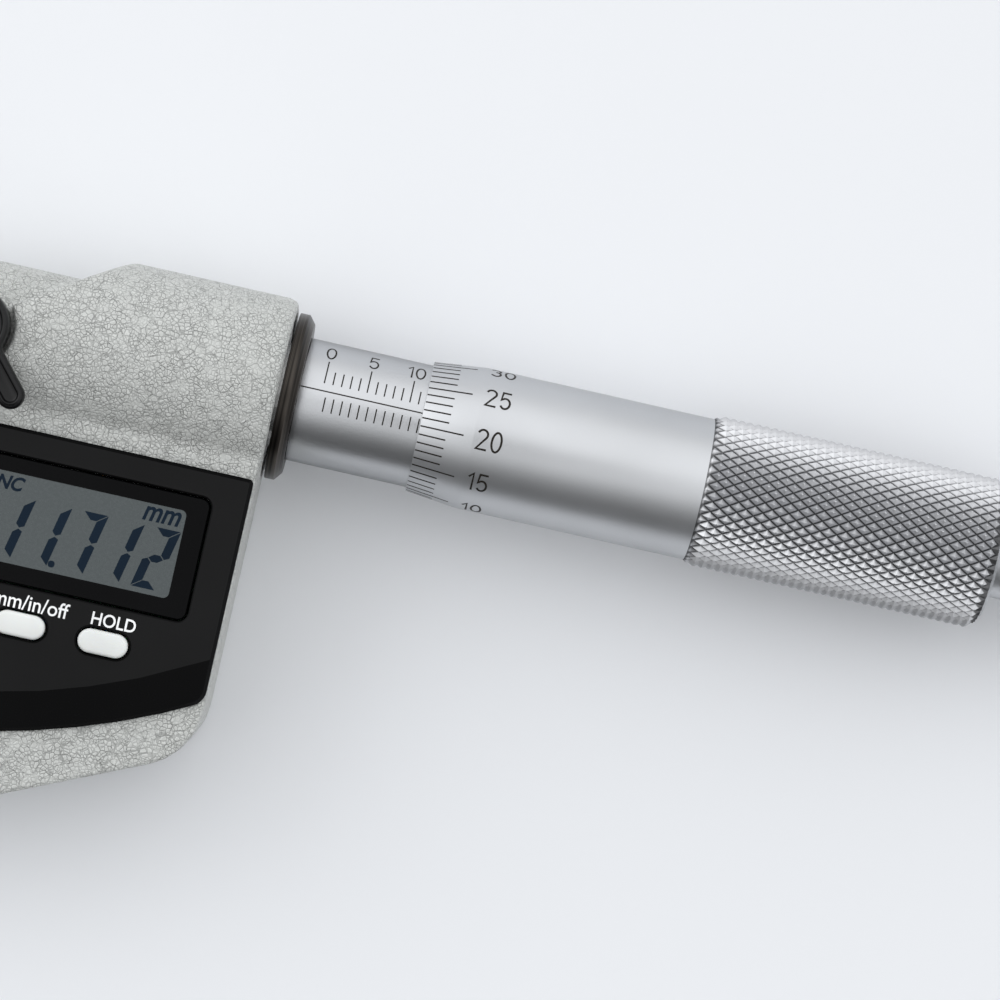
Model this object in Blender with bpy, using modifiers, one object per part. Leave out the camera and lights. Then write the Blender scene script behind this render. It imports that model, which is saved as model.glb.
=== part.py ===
"""A digital outside micrometer, 0 to 25 mm, opened to 11.712 mm.

The origin is the centre of the anvil's measuring face. +X runs along the spindle towards the ratchet,
+Y to the open side of the frame's throat, and +Z out of the display. Sizes here are in millimetres, and
the functions that make meshes turn them into metres.
"""
import math

import bmesh
import bpy
from mathutils import Matrix, Vector

MM = 0.001
WELD = 1e-6
GAP = 0.3

# Measuring axis
READING = 11.712
SPINDLE_R = 3.25
TIP_LENGTH = 1.0
THREAD_R = 4.0
THREAD_START = 83.0
THREAD_LENGTH = 45.0
ARM_FACE = 29.0
ARM_BACK = -3.5

# Boss, collar, sleeve and thimble
BOSS_END = 73.25
BOSS_R = 11.2
FRONT_BOSS_R = 8.0
GUIDE_BORE_R = 5.2
CAVITY_R = 9.3
CAVITY_START = 54.0
COLLAR_R = 9.78
COLLAR_END = 75.43
SLEEVE_R = 7.22
SLEEVE_END = 112.0
ZERO_EDGE = 78.12
THIMBLE_R = 8.35
KNURL_R = 8.85
THIMBLE_BORE_R = 7.42
THIMBLE_LENGTH = 68.13
KNURL_START = 33.22
END_WALL = 7.96
TAIL_R = 2.6

# Ratchet
KNOB_R = 6.0
NECK_R = 4.8
KNOB_LENGTH = 16.94
RATCHET_TEETH = 24
TOOTH_HEIGHT = 0.5

# Body
PLATE_HALF = 6.5
BACK_Z = -11.5
LAND_Z = 8.0
POCKET_FLOOR = -9.3
HOUSING_RIGHT = 72.95
THROAT_Y = -29.5
THROAT_CORNER = 15.5

# Display
BEZEL_Z = (8.3, 9.5)
BEZEL_RIGHT = 72.85
BEZEL_TOP = -10.3
BEZEL_LEFT = 30.3
BEZEL_ARC = (31.9, 39.4, 86.0)
FACET_WIDTH = 4.5
FACET_DROP = 0.8
WINDOW = (32.5, -27.65, 68.65, -13.65)
LCD = (34.2, -27.6, 67.4, -13.9)
BUTTON_SIZE = (5.75, 2.75)
BUTTON_Y = -32.1
BUTTONS = {"hold_button": 60.2, "unit_button": 50.6, "set_button": 41.0}
POSTS = ((66.0, -32.4), (46.0, -39.2), (26.5, -38.5))
BATTERY_AT = (56.0, -28.0)
BOARD_Z = (-1.8, -0.8)

# Lock lever
LEVER_AT = (38.1, 0.0)
LEVER_HUB_R = 4.25
LEVER_TIP = (6.05, -6.95)
LEVER_HALF = 1.6
LEVER_FILLET = 1.2
LEVER_Z = (11.6, 13.3)

FINE = 48
ROUND = 24
SMALL = 16

MATERIALS = {
    # name: (colour, metallic, roughness)
    "grey_enamel": ((0.52, 0.53, 0.51), 0.0, 0.45),
    "tool_steel": ((0.55, 0.55, 0.54), 1.0, 0.25),
    "carbide": ((0.32, 0.33, 0.34), 1.0, 0.20),
    "satin_chrome": ((0.72, 0.73, 0.75), 1.0, 0.32),
    "black_oxide": ((0.045, 0.04, 0.035), 1.0, 0.35),
    "bronze": ((0.62, 0.42, 0.22), 1.0, 0.35),
    "spring_steel": ((0.50, 0.50, 0.50), 1.0, 0.30),
    "black_plastic": ((0.012, 0.012, 0.013), 0.0, 0.42),
    "black_rubber": ((0.015, 0.015, 0.015), 0.0, 0.80),
    "window_acrylic": ((0.03, 0.03, 0.03), 0.0, 0.08),
    "lcd_glass": ((0.20, 0.23, 0.22), 0.0, 0.20),
    "zebra_rubber": ((0.20, 0.12, 0.12), 0.0, 0.70),
    "circuit_board": ((0.02, 0.13, 0.06), 0.0, 0.40),
    "chip_epoxy": ((0.02, 0.02, 0.02), 0.0, 0.50),
    "amber_film": ((0.45, 0.20, 0.04), 0.0, 0.35),
    "white_plastic": ((0.74, 0.74, 0.71), 0.0, 0.40),
    "grey_silicone": ((0.25, 0.25, 0.26), 0.0, 0.75),
    "nickel": ((0.62, 0.60, 0.56), 1.0, 0.28),
    "dark_screw": ((0.06, 0.06, 0.06), 1.0, 0.35),
}


def new_collection(name):
    collection = bpy.data.collections.new(name)
    bpy.context.scene.collection.children.link(collection)
    return collection


def make_materials():
    for name, (colour, metallic, roughness) in MATERIALS.items():
        material = bpy.data.materials.new(name)
        material.use_nodes = True
        shader = material.node_tree.nodes["Principled BSDF"]
        shader.inputs["Base Color"].default_value = (*colour, 1.0)
        shader.inputs["Metallic"].default_value = metallic
        shader.inputs["Roughness"].default_value = roughness


def place(obj, material):
    """Link obj as a part of this material, or as a cutter if material is None."""
    if material is None:
        CUTTERS.objects.link(obj)
        obj.hide_render = True
        obj.display_type = "WIRE"
    else:
        PARTS.objects.link(obj)
        obj.data.materials.append(bpy.data.materials[material])
    return obj


def metres(point):
    return tuple(value * MM for value in point)


# --- Outlines ---------------------------------------------------------------------------------------


def rounded(corners, steps=5):
    """The points of a polygon whose corners are (x, y, radius)."""
    points = []
    for i, (x, y, radius) in enumerate(corners):
        if radius == 0:
            points.append((x, y))
            continue
        before, after = corners[i - 1], corners[(i + 1) % len(corners)]
        back = math.atan2(before[1] - y, before[0] - x)
        ahead = math.atan2(after[1] - y, after[0] - x)
        opening = (ahead - back + math.pi) % (2 * math.pi) - math.pi
        half = abs(opening) / 2
        middle = back + opening / 2
        centre_x = x + radius / math.sin(half) * math.cos(middle)
        centre_y = y + radius / math.sin(half) * math.sin(middle)
        sweep = math.pi - abs(opening)
        start = middle + math.pi + math.copysign(sweep / 2, opening)
        for step in range(steps + 1):
            angle = start - math.copysign(sweep, opening) * step / steps
            points.append((centre_x + radius * math.cos(angle), centre_y + radius * math.sin(angle)))
    return points


def circle(x, y, radius, steps=SMALL):
    turn = 2 * math.pi / steps
    return [(x + radius * math.cos(i * turn), y + radius * math.sin(i * turn)) for i in range(steps)]


def slab(x0, y0, x1, y1, radius):
    return rounded([(x0, y0, radius), (x1, y0, radius), (x1, y1, radius), (x0, y1, radius)])


def stadium(length, width, steps=6):
    r = width / 2 - 0.001
    x, y = length / 2, width / 2
    return rounded([(-x, -y, r), (x, -y, r), (x, y, r), (-x, y, r)], steps)


def display_outline(inset=0.0):
    """The bezel's outline, drawn in by inset: straight at the top and right, an arc along the bottom."""
    cx, cy, arc_r = BEZEL_ARC
    arc_r -= inset
    right, top, left = BEZEL_RIGHT - inset, BEZEL_TOP - inset, BEZEL_LEFT + inset
    tail = 18.0 + inset

    def arc_point(x):
        return x, cy - math.sqrt(arc_r**2 - (x - cx) ** 2)

    corners = [(right, top, 0.6), (*arc_point(right), 2.2)]
    for i in range(1, 12):
        corners.append((*arc_point(right + (tail - right) * i / 12), 0))
    corners += [(*arc_point(tail), 2.5), (19.0 + inset, -36.5, 5.0), (left, -24.0, 10.0), (left, top, 1.0)]
    return rounded(corners)


def housing_outline():
    return rounded(
        [
            (HOUSING_RIGHT, -4.0, 0),
            (29.5, -4.0, 0),
            (29.5, -14.8, 3.0),
            (26.0, -27.5, 6.0),
            (16.0, -35.5, 6.0),
            (14.0, -48.0, 5.0),
            (23.0, -56.2, 20.0),
            (42.0, -56.2, 45.0),
            (HOUSING_RIGHT, -42.4, 8.0),
        ]
    )


def plate_outline():
    """The U of the frame. Its right arm ends inside the boss and the housing."""
    r = THROAT_CORNER
    return rounded(
        [
            (-16.0, 5.5, 2.5),
            (-16.0, -22.0, 40.0),
            (1.0, -45.5, 50.0),
            (21.0, -56.0, 20.0),
            (46.0, -50.0, 0),
            (46.0, 3.0, 0),
            (ARM_FACE, 3.0, 0),
            (ARM_FACE, THROAT_Y, r),
            (ARM_BACK, THROAT_Y, r),
            (ARM_BACK, 5.5, 2.0),
        ],
        6,
    )


def lever_outline():
    """A round hub and a straight arm with a round tip, joined by a fillet on each side."""
    length = math.hypot(*LEVER_TIP)
    heading = math.atan2(LEVER_TIP[1], LEVER_TIP[0])
    side = LEVER_HALF + LEVER_FILLET
    along = math.sqrt((LEVER_HUB_R + LEVER_FILLET) ** 2 - side**2)
    meet = math.atan2(side, along)
    quarter = math.pi / 2
    arcs = [
        ((0.0, 0.0), LEVER_HUB_R, meet, 2 * math.pi - meet, 18),
        ((along, -side), LEVER_FILLET, math.pi - meet, quarter, 3),
        ((length, 0.0), LEVER_HALF, -quarter, quarter, 8),
        ((along, side), LEVER_FILLET, -quarter, meet - math.pi, 3),
    ]
    turn = Matrix.Rotation(heading, 2)
    points = []
    for (u, v), radius, start, end, steps in arcs:
        for i in range(steps):
            angle = start + (end - start) * i / steps
            points.append(tuple(turn @ Vector((u + radius * math.cos(angle), v + radius * math.sin(angle)))))
    return points


# --- Solids -----------------------------------------------------------------------------------------


def extruded(name, material, outlines, z0, z1, at=(0.0, 0.0)):
    """A flat outline, with any holes, from z0 to z1. The outlines are measured from at."""
    curve = bpy.data.curves.new(name, "CURVE")
    curve.dimensions = "2D"
    curve.fill_mode = "BOTH"
    curve.extrude = (z1 - z0) / 2 * MM
    for outline in outlines:
        spline = curve.splines.new("POLY")
        spline.points.add(len(outline) - 1)
        for point, (x, y) in zip(spline.points, outline):
            point.co = (x * MM, y * MM, 0.0, 1.0)
        spline.use_cyclic_u = True
    drawn = bpy.data.objects.new(name + "_outline", curve)
    bpy.context.scene.collection.objects.link(drawn)
    drawn.location = metres((*at, (z0 + z1) / 2))
    bpy.context.view_layer.update()
    evaluated = drawn.evaluated_get(bpy.context.evaluated_depsgraph_get())
    mesh = bpy.data.meshes.new_from_object(evaluated)
    mesh.name = name
    shape = bmesh.new()
    shape.from_mesh(mesh)
    bmesh.ops.remove_doubles(shape, verts=shape.verts, dist=WELD)
    bmesh.ops.recalc_face_normals(shape, faces=shape.faces)
    shape.to_mesh(mesh)
    shape.free()
    obj = bpy.data.objects.new(name, mesh)
    obj.matrix_world = drawn.matrix_world.copy()
    bpy.data.objects.remove(drawn)
    return place(obj, material)


def turned(name, material, profile, axis="X", at=(0.0, 0.0, 0.0), steps=ROUND):
    """A profile of (distance along the axis, radius) turned about the axis through at.

    The profile starts at its far end on the outside and comes back on the inside, or starts and ends on
    the axis.
    """
    mesh = bpy.data.meshes.new(name)
    points = [(radius * MM, 0.0, along * MM) for along, radius in profile]
    edges = [(i, i + 1) for i in range(len(points) - 1)]
    if profile[0][1] > 0:
        edges.append((len(points) - 1, 0))
    mesh.from_pydata(points, edges, [])
    obj = bpy.data.objects.new(name, mesh)
    obj.location = metres(at)
    if axis == "X":
        obj.rotation_euler = (0.0, math.pi / 2, 0.0)
    turn = obj.modifiers.new("Turn", "SCREW")
    turn.axis = "Z"
    turn.steps = steps
    turn.render_steps = steps
    turn.use_merge_vertices = True
    turn.merge_threshold = WELD
    return place(obj, material)


def rod(name, material, start, end, radius, axis="X", at=(0.0, 0.0, 0.0), steps=ROUND):
    profile = [(end, 0.0), (end, radius), (start, radius), (start, 0.0)]
    return turned(name, material, profile, axis, at, steps)


def tube(name, material, start, end, bore, radius, axis="X", at=(0.0, 0.0, 0.0), steps=ROUND):
    profile = [(end, radius), (start, radius), (start, bore), (end, bore)]
    return turned(name, material, profile, axis, at, steps)


def box(name, material, low, high):
    shape = bmesh.new()
    bmesh.ops.create_cube(shape, size=1.0)
    size = [(high[i] - low[i]) * MM for i in range(3)]
    bmesh.ops.scale(shape, vec=size, verts=shape.verts)
    mesh = bpy.data.meshes.new(name)
    shape.to_mesh(mesh)
    shape.free()
    obj = bpy.data.objects.new(name, mesh)
    obj.location = [(low[i] + high[i]) / 2 * MM for i in range(3)]
    return place(obj, material)


def crown(name, material, back, valley, height, bore, radius, teeth):
    """A ring from back to valley along X, with pointed face teeth of this height on its valley side."""
    shape = bmesh.new()
    columns = []
    for i in range(2 * teeth):
        angle = math.pi * i / teeth
        face = valley + (height if i % 2 else 0.0)
        column = []
        for along, r in ((back, bore), (back, radius), (face, radius), (face, bore)):
            point = (along, r * math.cos(angle), r * math.sin(angle))
            column.append(shape.verts.new(metres(point)))
        columns.append(column)
    for i, column in enumerate(columns):
        following = columns[(i + 1) % len(columns)]
        for side in range(4):
            corner = (side + 1) % 4
            shape.faces.new((column[side], column[corner], following[corner], following[side]))
    bmesh.ops.recalc_face_normals(shape, faces=shape.faces)
    mesh = bpy.data.meshes.new(name)
    shape.to_mesh(mesh)
    shape.free()
    return place(bpy.data.objects.new(name, mesh), material)


def combine(obj, operation, others, solver="EXACT"):
    for other in others:
        step = obj.modifiers.new(other.name, "BOOLEAN")
        step.operation = operation
        step.solver = solver
        step.object = other


def cut(obj, *cutters, solver="EXACT"):
    combine(obj, "DIFFERENCE", cutters, solver)


def join(obj, *others, solver="EXACT"):
    combine(obj, "UNION", others, solver)


def bevel(obj, width, segments=2, angle=40):
    edge = obj.modifiers.new("Bevel", "BEVEL")
    edge.width = width * MM
    edge.segments = segments
    edge.limit_method = "ANGLE"
    edge.angle_limit = math.radians(angle)


# --- Frame ------------------------------------------------------------------------------------------


def make_big_boss():
    """The boss over the encoder. A slanted wall ends it on the lever's side."""
    profile = [
        (BOSS_END, 0.0),
        (BOSS_END, BOSS_R - 1.0),
        (BOSS_END - 0.3, BOSS_R - 0.3),
        (BOSS_END - 1.0, BOSS_R),
        (30.2, BOSS_R),
        (30.2, 0.0),
    ]
    boss = turned("boss_solid", None, profile, steps=FINE)
    wall = box("boss_wall", None, (-30.0, 0.0, -7.0), (30.0, 30.0, 20.0))
    wall.matrix_world = (
        Matrix.Translation(metres((46.5, 6.25, 6.0)))
        @ Matrix.Rotation(math.radians(34.7), 4, "Z")
        @ Matrix.Translation(metres((0.0, 15.0, 0.0)))
    )
    back_wall = box("boss_back_wall", None, (29.0, -13.0, -13.0), (47.5, 13.0, -2.0))
    cut(boss, wall, back_wall)
    return boss


def make_frame():
    frame = extruded("frame", "grey_enamel", [housing_outline()], BACK_Z, LAND_Z)
    bevel(frame, 1.4, 2)
    plate = extruded("plate_solid", None, [plate_outline()], -PLATE_HALF, PLATE_HALF)
    bevel(plate, 1.8, 2)
    front_boss = turned(
        "front_boss_solid",
        None,
        [
            (56.0, 0.0),
            (56.0, FRONT_BOSS_R),
            (29.2, FRONT_BOSS_R),
            (28.4, FRONT_BOSS_R - 0.8),
            (28.4, 0.0),
        ],
        steps=FINE,
    )
    anvil_boss = turned(
        "anvil_boss_solid",
        None,
        [(-2.9, 0.0), (-2.9, 6.4), (-3.7, 7.2), (-15.8, 7.2), (-16.6, 6.4), (-16.6, 0.0)],
        steps=FINE,
    )
    join(frame, plate, front_boss, make_big_boss(), anvil_boss, solver="MANIFOLD")

    bore = [
        (BOSS_END + 1.0, 0.0),
        (BOSS_END + 1.0, CAVITY_R),
        (CAVITY_START, CAVITY_R),
        (CAVITY_START, GUIDE_BORE_R),
        (27.0, GUIDE_BORE_R),
        (27.0, 0.0),
    ]
    cut(
        frame,
        turned("main_bore", None, bore, steps=48),
        rod("anvil_bore", None, -13.5, -2.0, SPINDLE_R + GAP),
        rod("set_screw_hole", None, -9.0, -3.0, 1.3, "Z", (-9.0, 0.0, 0.0), SMALL),
        rod("lock_hole", None, 4.0, 9.5, 1.9, "Z", (*LEVER_AT, 0.0), SMALL),
        rod("lever_recess", None, 8.4, 14.0, LEVER_HUB_R + 0.5, "Z", (*LEVER_AT, 0.0)),
        extruded("pocket", None, [display_outline(3.0)], POCKET_FLOOR, LAND_Z + 1.0),
        extruded("gasket_step", None, [display_outline(1.5)], 6.7, LAND_Z + 1.0),
        box("ribbon_slot", None, (54.6, -14.2, 0.3), (56.6, -8.4, 4.3)),
        rod("battery_hole", None, BACK_Z - 1.0, POCKET_FLOOR + 1.0, 7.6, "Z", (*BATTERY_AT, 0.0)),
        solver="MANIFOLD",
    )
    for i, post in enumerate(POSTS, 1):
        profile = [
            (POCKET_FLOOR + 1.0, 0.0),
            (POCKET_FLOOR + 1.0, 1.1),
            (-10.2, 1.1),
            (-10.2, 1.8),
            (BACK_Z - 1.0, 1.8),
            (BACK_Z - 1.0, 0.0),
        ]
        hole = turned(f"screw_hole_{i}", None, profile, "Z", (*post, 0.0), SMALL)
        cut(frame, hole, solver="MANIFOLD")


# --- Anvil, guide and lock --------------------------------------------------------------------------


def make_anvil():
    rod("anvil_tip", "carbide", -TIP_LENGTH, 0.0, SPINDLE_R)
    rod("anvil", "tool_steel", -13.2, -TIP_LENGTH - GAP, SPINDLE_R)
    screw = rod("anvil_set_screw", "dark_screw", -6.3, -3.6, 1.0, "Z", (-9.0, 0.0, 0.0), SMALL)
    cut(screw, rod("set_screw_socket", None, -7.0, -5.4, 0.5, "Z", (-9.0, 0.0, 0.0), 6))


def make_guide():
    bush = tube("guide_bush", "bronze", 30.8, 53.4, SPINDLE_R + 0.2, 5.0)
    cut(bush, rod("bush_lock_hole", None, 1.0, 7.0, 1.9, "Z", (*LEVER_AT, 0.0), SMALL))
    tube("spindle_wiper_seal", "black_rubber", 29.3, 30.5, SPINDLE_R + 0.15, 4.9)


def make_lock():
    x, y = LEVER_AT
    rod("lock_pad", "bronze", SPINDLE_R + 0.2, 5.8, 1.6, "Z", (x, y, 0.0), SMALL)
    stem = rod("lock_stem", "tool_steel", 6.1, 11.0, 1.5, "Z", (x, y, 0.0), SMALL)
    cut(stem, rod("stem_hole", None, 8.9, 12.0, 1.1, "Z", (x, y, 0.0), SMALL))

    lever = extruded("lock_lever", "black_plastic", [lever_outline()], *LEVER_Z, LEVER_AT)
    bevel(lever, 0.35, 2)
    hub = rod("lever_hub", None, 8.7, 12.4, LEVER_HUB_R - 0.1, "Z", (x, y, 0.0))
    join(lever, hub)
    cut(
        lever,
        rod("lever_bore", None, 8.0, 14.0, 1.8, "Z", (x, y, 0.0), SMALL),
        rod("lever_counterbore", None, 12.0, 14.0, 2.9, "Z", (x, y, 0.0)),
    )
    profile = [(13.1, 0.0), (13.1, 2.6), (12.3, 2.6), (12.3, 0.8), (9.2, 0.8), (9.2, 0.0)]
    screw = turned("lever_screw", "dark_screw", profile, "Z", (x, y, 0.0))
    cut(screw, box("lever_screw_slot", None, (x - 4.0, y - 0.35, 12.6), (x + 4.0, y + 0.35, 14.0)))


# --- Spindle, thimble and ratchet -------------------------------------------------------------------


def make_spindle():
    tip = READING
    rod("spindle_tip", "carbide", 0.0, TIP_LENGTH, SPINDLE_R, at=(tip, 0.0, 0.0))
    start = TIP_LENGTH + GAP
    wall_inside = ZERO_EDGE + THIMBLE_LENGTH - END_WALL
    profile = [
        (wall_inside + 7.3, 1.6),
        (wall_inside + 7.3, TAIL_R),
        (wall_inside - 0.3, TAIL_R),
        (wall_inside - 0.3, 3.4),
        (THREAD_START + THREAD_LENGTH, 3.4),
        (THREAD_START + THREAD_LENGTH, THREAD_R),
        (THREAD_START, THREAD_R),
        (THREAD_START, 3.0),
        (THREAD_START - 0.7, 3.0),
        (THREAD_START - 0.7, SPINDLE_R),
        (start, SPINDLE_R),
        (start, 0.0),
        (wall_inside - 1.0, 0.0),
        (wall_inside - 1.0, 1.6),
    ]
    spindle = turned_open("spindle", "tool_steel", profile, at=(tip, 0.0, 0.0))
    cut(spindle, box("keyway", None, (46.5, -0.6, -4.0), (75.0, 0.6, -2.15)))


def turned_open(name, material, profile, at):
    """A solid turned piece whose profile meets the axis part way round, at its two points of radius 0."""
    first = next(i for i, point in enumerate(profile) if point[1] == 0.0)
    return turned(name, material, profile[first + 1 :] + profile[: first + 1], at=at)


def make_thimble():
    edge = ZERO_EDGE + READING
    end = THIMBLE_LENGTH
    profile = [
        (end, 2.9),
        (end, KNURL_R - 1.3),
        (end - 0.5, KNURL_R - 0.4),
        (end - 1.4, KNURL_R),
        (KNURL_START + 0.3, KNURL_R),
        (KNURL_START, THIMBLE_R),
        (6.25, THIMBLE_R),
        (0.0, THIMBLE_BORE_R + 0.2),
        (0.0, THIMBLE_BORE_R),
        (end - END_WALL, THIMBLE_BORE_R),
        (end - END_WALL, 2.9),
    ]
    turned("thimble", "satin_chrome", profile, at=(edge, 0.0, 0.0), steps=FINE)


def make_ratchet():
    """The post is screwed into the spindle, and carries the spring, the toothed disc and the knob."""
    end = ZERO_EDGE + READING + THIMBLE_LENGTH
    profile = [
        (16.9, 0.0),
        (16.9, 2.9),
        (15.5, 2.9),
        (15.5, 1.3),
        (-7.2, 1.3),
        (-7.2, 0.0),
    ]
    post = turned("ratchet_post", "tool_steel", profile, at=(end, 0.0, 0.0))
    cut(post, box("post_slot", None, (end + 16.2, -4.0, -0.4), (end + 18.0, 4.0, 0.4)))

    disc = tube("ratchet_disc", "tool_steel", 3.6, 5.4, 1.6, 4.0, at=(end, 0.0, 0.0))
    join(disc, crown("disc_teeth", None, end + 5.0, end + 5.45, TOOTH_HEIGHT, 2.1, 3.9, RATCHET_TEETH))

    profile = [
        (GAP + KNOB_LENGTH, KNOB_R - 0.8),
        (GAP + KNOB_LENGTH - 0.8, KNOB_R),
        (4.1, KNOB_R),
        (3.3, NECK_R),
        (GAP, NECK_R),
        (GAP, 4.3),
        (6.6, 4.3),
        (6.6, 1.6),
        (15.2, 1.6),
        (15.2, 3.2),
        (GAP + KNOB_LENGTH, 3.2),
    ]
    knob = turned("ratchet_knob", "satin_chrome", profile, at=(end, 0.0, 0.0), steps=FINE)
    teeth = crown("knob_teeth", None, end + 7.0, end + 6.35, -TOOTH_HEIGHT, 2.1, 3.9, RATCHET_TEETH)
    teeth.rotation_euler.x = math.pi / RATCHET_TEETH
    join(knob, teeth)


def make_ratchet_spring():
    start, end = 0.65, 3.0
    coil_r, wire_r, turns, points_each = 2.3, 0.22, 4, 12
    curve = bpy.data.curves.new("ratchet_spring", "CURVE")
    curve.dimensions = "3D"
    curve.bevel_depth = wire_r * MM
    curve.bevel_resolution = 1
    curve.use_fill_caps = True
    spline = curve.splines.new("POLY")
    count = turns * points_each + 1
    spline.points.add(count - 1)
    for i, point in enumerate(spline.points):
        angle = 2 * math.pi * i / points_each
        along = start + (end - start) * i / (count - 1)
        place_at = metres((along, coil_r * math.cos(angle), coil_r * math.sin(angle)))
        point.co = (*place_at, 1.0)
    obj = bpy.data.objects.new("ratchet_spring", curve)
    obj.location = metres((ZERO_EDGE + READING + THIMBLE_LENGTH, 0.0, 0.0))
    place(obj, "spring_steel")


# --- Sleeves and encoder ----------------------------------------------------------------------------


def make_sleeves():
    nut_r = 5.6
    profile = [
        (122.0, nut_r),
        (112.6, nut_r),
        (112.6, 6.15),
        (72.9, 6.15),
        (72.9, 9.0),
        (69.0, 9.0),
        (69.0, SPINDLE_R + 0.2),
        (THREAD_START - 0.9, SPINDLE_R + 0.2),
        (THREAD_START - 0.9, THREAD_R + 0.2),
        (122.0, THREAD_R + 0.2),
    ]
    inner = turned("inner_sleeve", "tool_steel", profile)
    slits = []
    for i in range(3):
        slit = box(f"nut_slit_{i + 1}", None, (108.0, 0.0, -0.4), (123.0, 8.0, 0.4))
        turn = Matrix.Rotation(math.radians(120.0 * i + 30.0), 4, "X")
        slit.matrix_world = turn @ Matrix.Translation(slit.location)
        slits.append(slit)
    cut(inner, *slits)
    tube("adjusting_nut", "tool_steel", 114.0, 121.0, nut_r + GAP, 7.0)

    profile = [
        (COLLAR_END, COLLAR_R - 1.0),
        (COLLAR_END - 1.07, COLLAR_R),
        (BOSS_END + GAP, COLLAR_R),
        (BOSS_END + GAP, 6.45),
        (COLLAR_END, 6.45),
    ]
    turned("collar_ring", "black_oxide", profile, steps=FINE)
    sleeve = tube("scale_sleeve", "satin_chrome", COLLAR_END + GAP, SLEEVE_END, 6.45, SLEEVE_R, steps=FINE)
    cut(sleeve, rod("spanner_hole", None, -8.0, -5.0, 0.7, "Z", (79.5, 0.0, 0.0), SMALL))


def make_encoder():
    tube("stator_board", "circuit_board", 55.0, 56.2, 4.6, 9.0)
    tube("rotor_disc", "circuit_board", 56.9, 58.1, 4.6, 8.6)
    profile = [
        (68.6, 4.2),
        (59.6, 4.2),
        (59.6, 6.5),
        (58.4, 6.5),
        (58.4, 4.2),
        (53.8, 4.2),
        (53.8, SPINDLE_R + 0.2),
        (68.6, SPINDLE_R + 0.2),
    ]
    bush = turned("rotor_bush", "bronze", profile)
    cut(bush, rod("key_hole", None, -5.5, -2.5, 0.75, "Z", (62.0, 0.0, 0.0), SMALL))
    rod("key_pin", "tool_steel", -4.8, -2.45, 0.42, "Z", (62.0, 0.0, 0.0), SMALL)
    box("stator_ribbon", "amber_film", (55.45, -16.2, 0.9), (55.75, -9.3, 3.7))


# --- Display and electronics ------------------------------------------------------------------------


def make_bezel():
    """The bezel plate, its sloping lower band, the openings and the screw posts behind it."""
    opening = slab(WINDOW[0] - 0.2, WINDOW[1] - 0.2, WINDOW[2] + 0.2, WINDOW[3] + 0.2, 1.2)
    bottom, top = BEZEL_Z
    bezel = extruded("display_bezel", "black_plastic", [display_outline(), opening], bottom, top)
    hole = stadium(BUTTON_SIZE[0] + 0.4, BUTTON_SIZE[1] + 0.4)
    for name, x in BUTTONS.items():
        cut(bezel, extruded(f"{name}_hole", None, [hole], bottom - 1.0, top + 1.0, (x, BUTTON_Y)))
    cx, cy, arc_r = BEZEL_ARC
    inner = arc_r - FACET_WIDTH
    profile = [
        (top + 1.0, arc_r + 3.0),
        (top - FACET_DROP * (1 + 3.0 / FACET_WIDTH), arc_r + 3.0),
        (top + 0.2, inner - 0.2 * FACET_WIDTH / FACET_DROP),
        (top + 1.0, inner - 1.0),
    ]
    cut(bezel, turned("facet", None, profile, "Z", (cx, cy, 0.0), 180))
    for i, (x, y) in enumerate(POSTS, 1):
        post = rod(f"post_{i}", None, POCKET_FLOOR + GAP, bottom + 0.4, 1.9, "Z", (x, y, 0.0), SMALL)
        join(bezel, post)
        cut(bezel, rod(f"post_hole_{i}", None, POCKET_FLOOR, -4.0, 1.05, "Z", (x, y, 0.0), SMALL))
        make_bezel_screw(i, x, y)

    outer, inner_edge = display_outline(1.8), display_outline(2.7)
    extruded("bezel_gasket", "black_rubber", [outer, inner_edge], 7.0, 8.0)
    extruded("display_window", "window_acrylic", [slab(*WINDOW, 1.0)], 8.0, 9.25)


def make_bezel_screw(number, x, y):
    profile = [(-4.6, 0.0), (-4.6, 0.75), (-10.5, 0.75), (-10.5, 1.5), (-11.3, 1.5), (-11.3, 0.0)]
    screw = turned(f"bezel_screw_{number}", "dark_screw", profile, "Z", (x, y, 0.0), SMALL)
    across = box(f"screw_cross_a_{number}", None, (x - 0.9, y - 0.18, -12.0), (x + 0.9, y + 0.18, -10.9))
    along = box(f"screw_cross_b_{number}", None, (x - 0.18, y - 0.9, -12.0), (x + 0.18, y + 0.9, -10.9))
    cut(screw, across, along)


def make_electronics():
    holes = [circle(x, y, 2.2) for x, y in POSTS]
    extruded("main_board", "circuit_board", [display_outline(3.5), *holes], *BOARD_Z)
    top = BOARD_Z[1] + GAP
    box("lcd_panel", "lcd_glass", (LCD[0], LCD[1], 4.4), (LCD[2], LCD[3], 6.6))
    box("zebra_strip", "zebra_rubber", (36.0, -27.4, top), (65.0, -26.0, 4.1))
    box("controller_chip", "chip_epoxy", (39.5, -25.0, top), (48.5, -16.0, top + 1.2))
    box("crystal_can", "nickel", (60.0, -22.0, top), (66.0, -19.8, top + 2.0))
    box("ribbon_socket", "chip_epoxy", (52.8, -17.2, top), (58.4, -14.6, top + 1.0))


def make_buttons():
    pad = box("button_pad", "grey_silicone", (37.4, -35.0, BOARD_Z[1] + GAP), (63.4, -29.3, 3.6))
    for name, x in BUTTONS.items():
        centre = (x, BUTTON_Y)
        join(pad, rod(f"{name}_dome", None, 3.0, 4.0, 1.6, "Z", (*centre, 0.0), SMALL))
        cap = extruded(name, "white_plastic", [stadium(*BUTTON_SIZE)], 7.4, 10.2, centre)
        bevel(cap, 0.3, 2)
        flange = extruded(f"{name}_flange", None, [stadium(6.9, 3.9)], 7.1, 7.9, centre)
        stem = rod(f"{name}_stem", None, 4.6, 7.5, 0.9, "Z", (*centre, 0.0), SMALL)
        join(cap, flange, stem)


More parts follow.
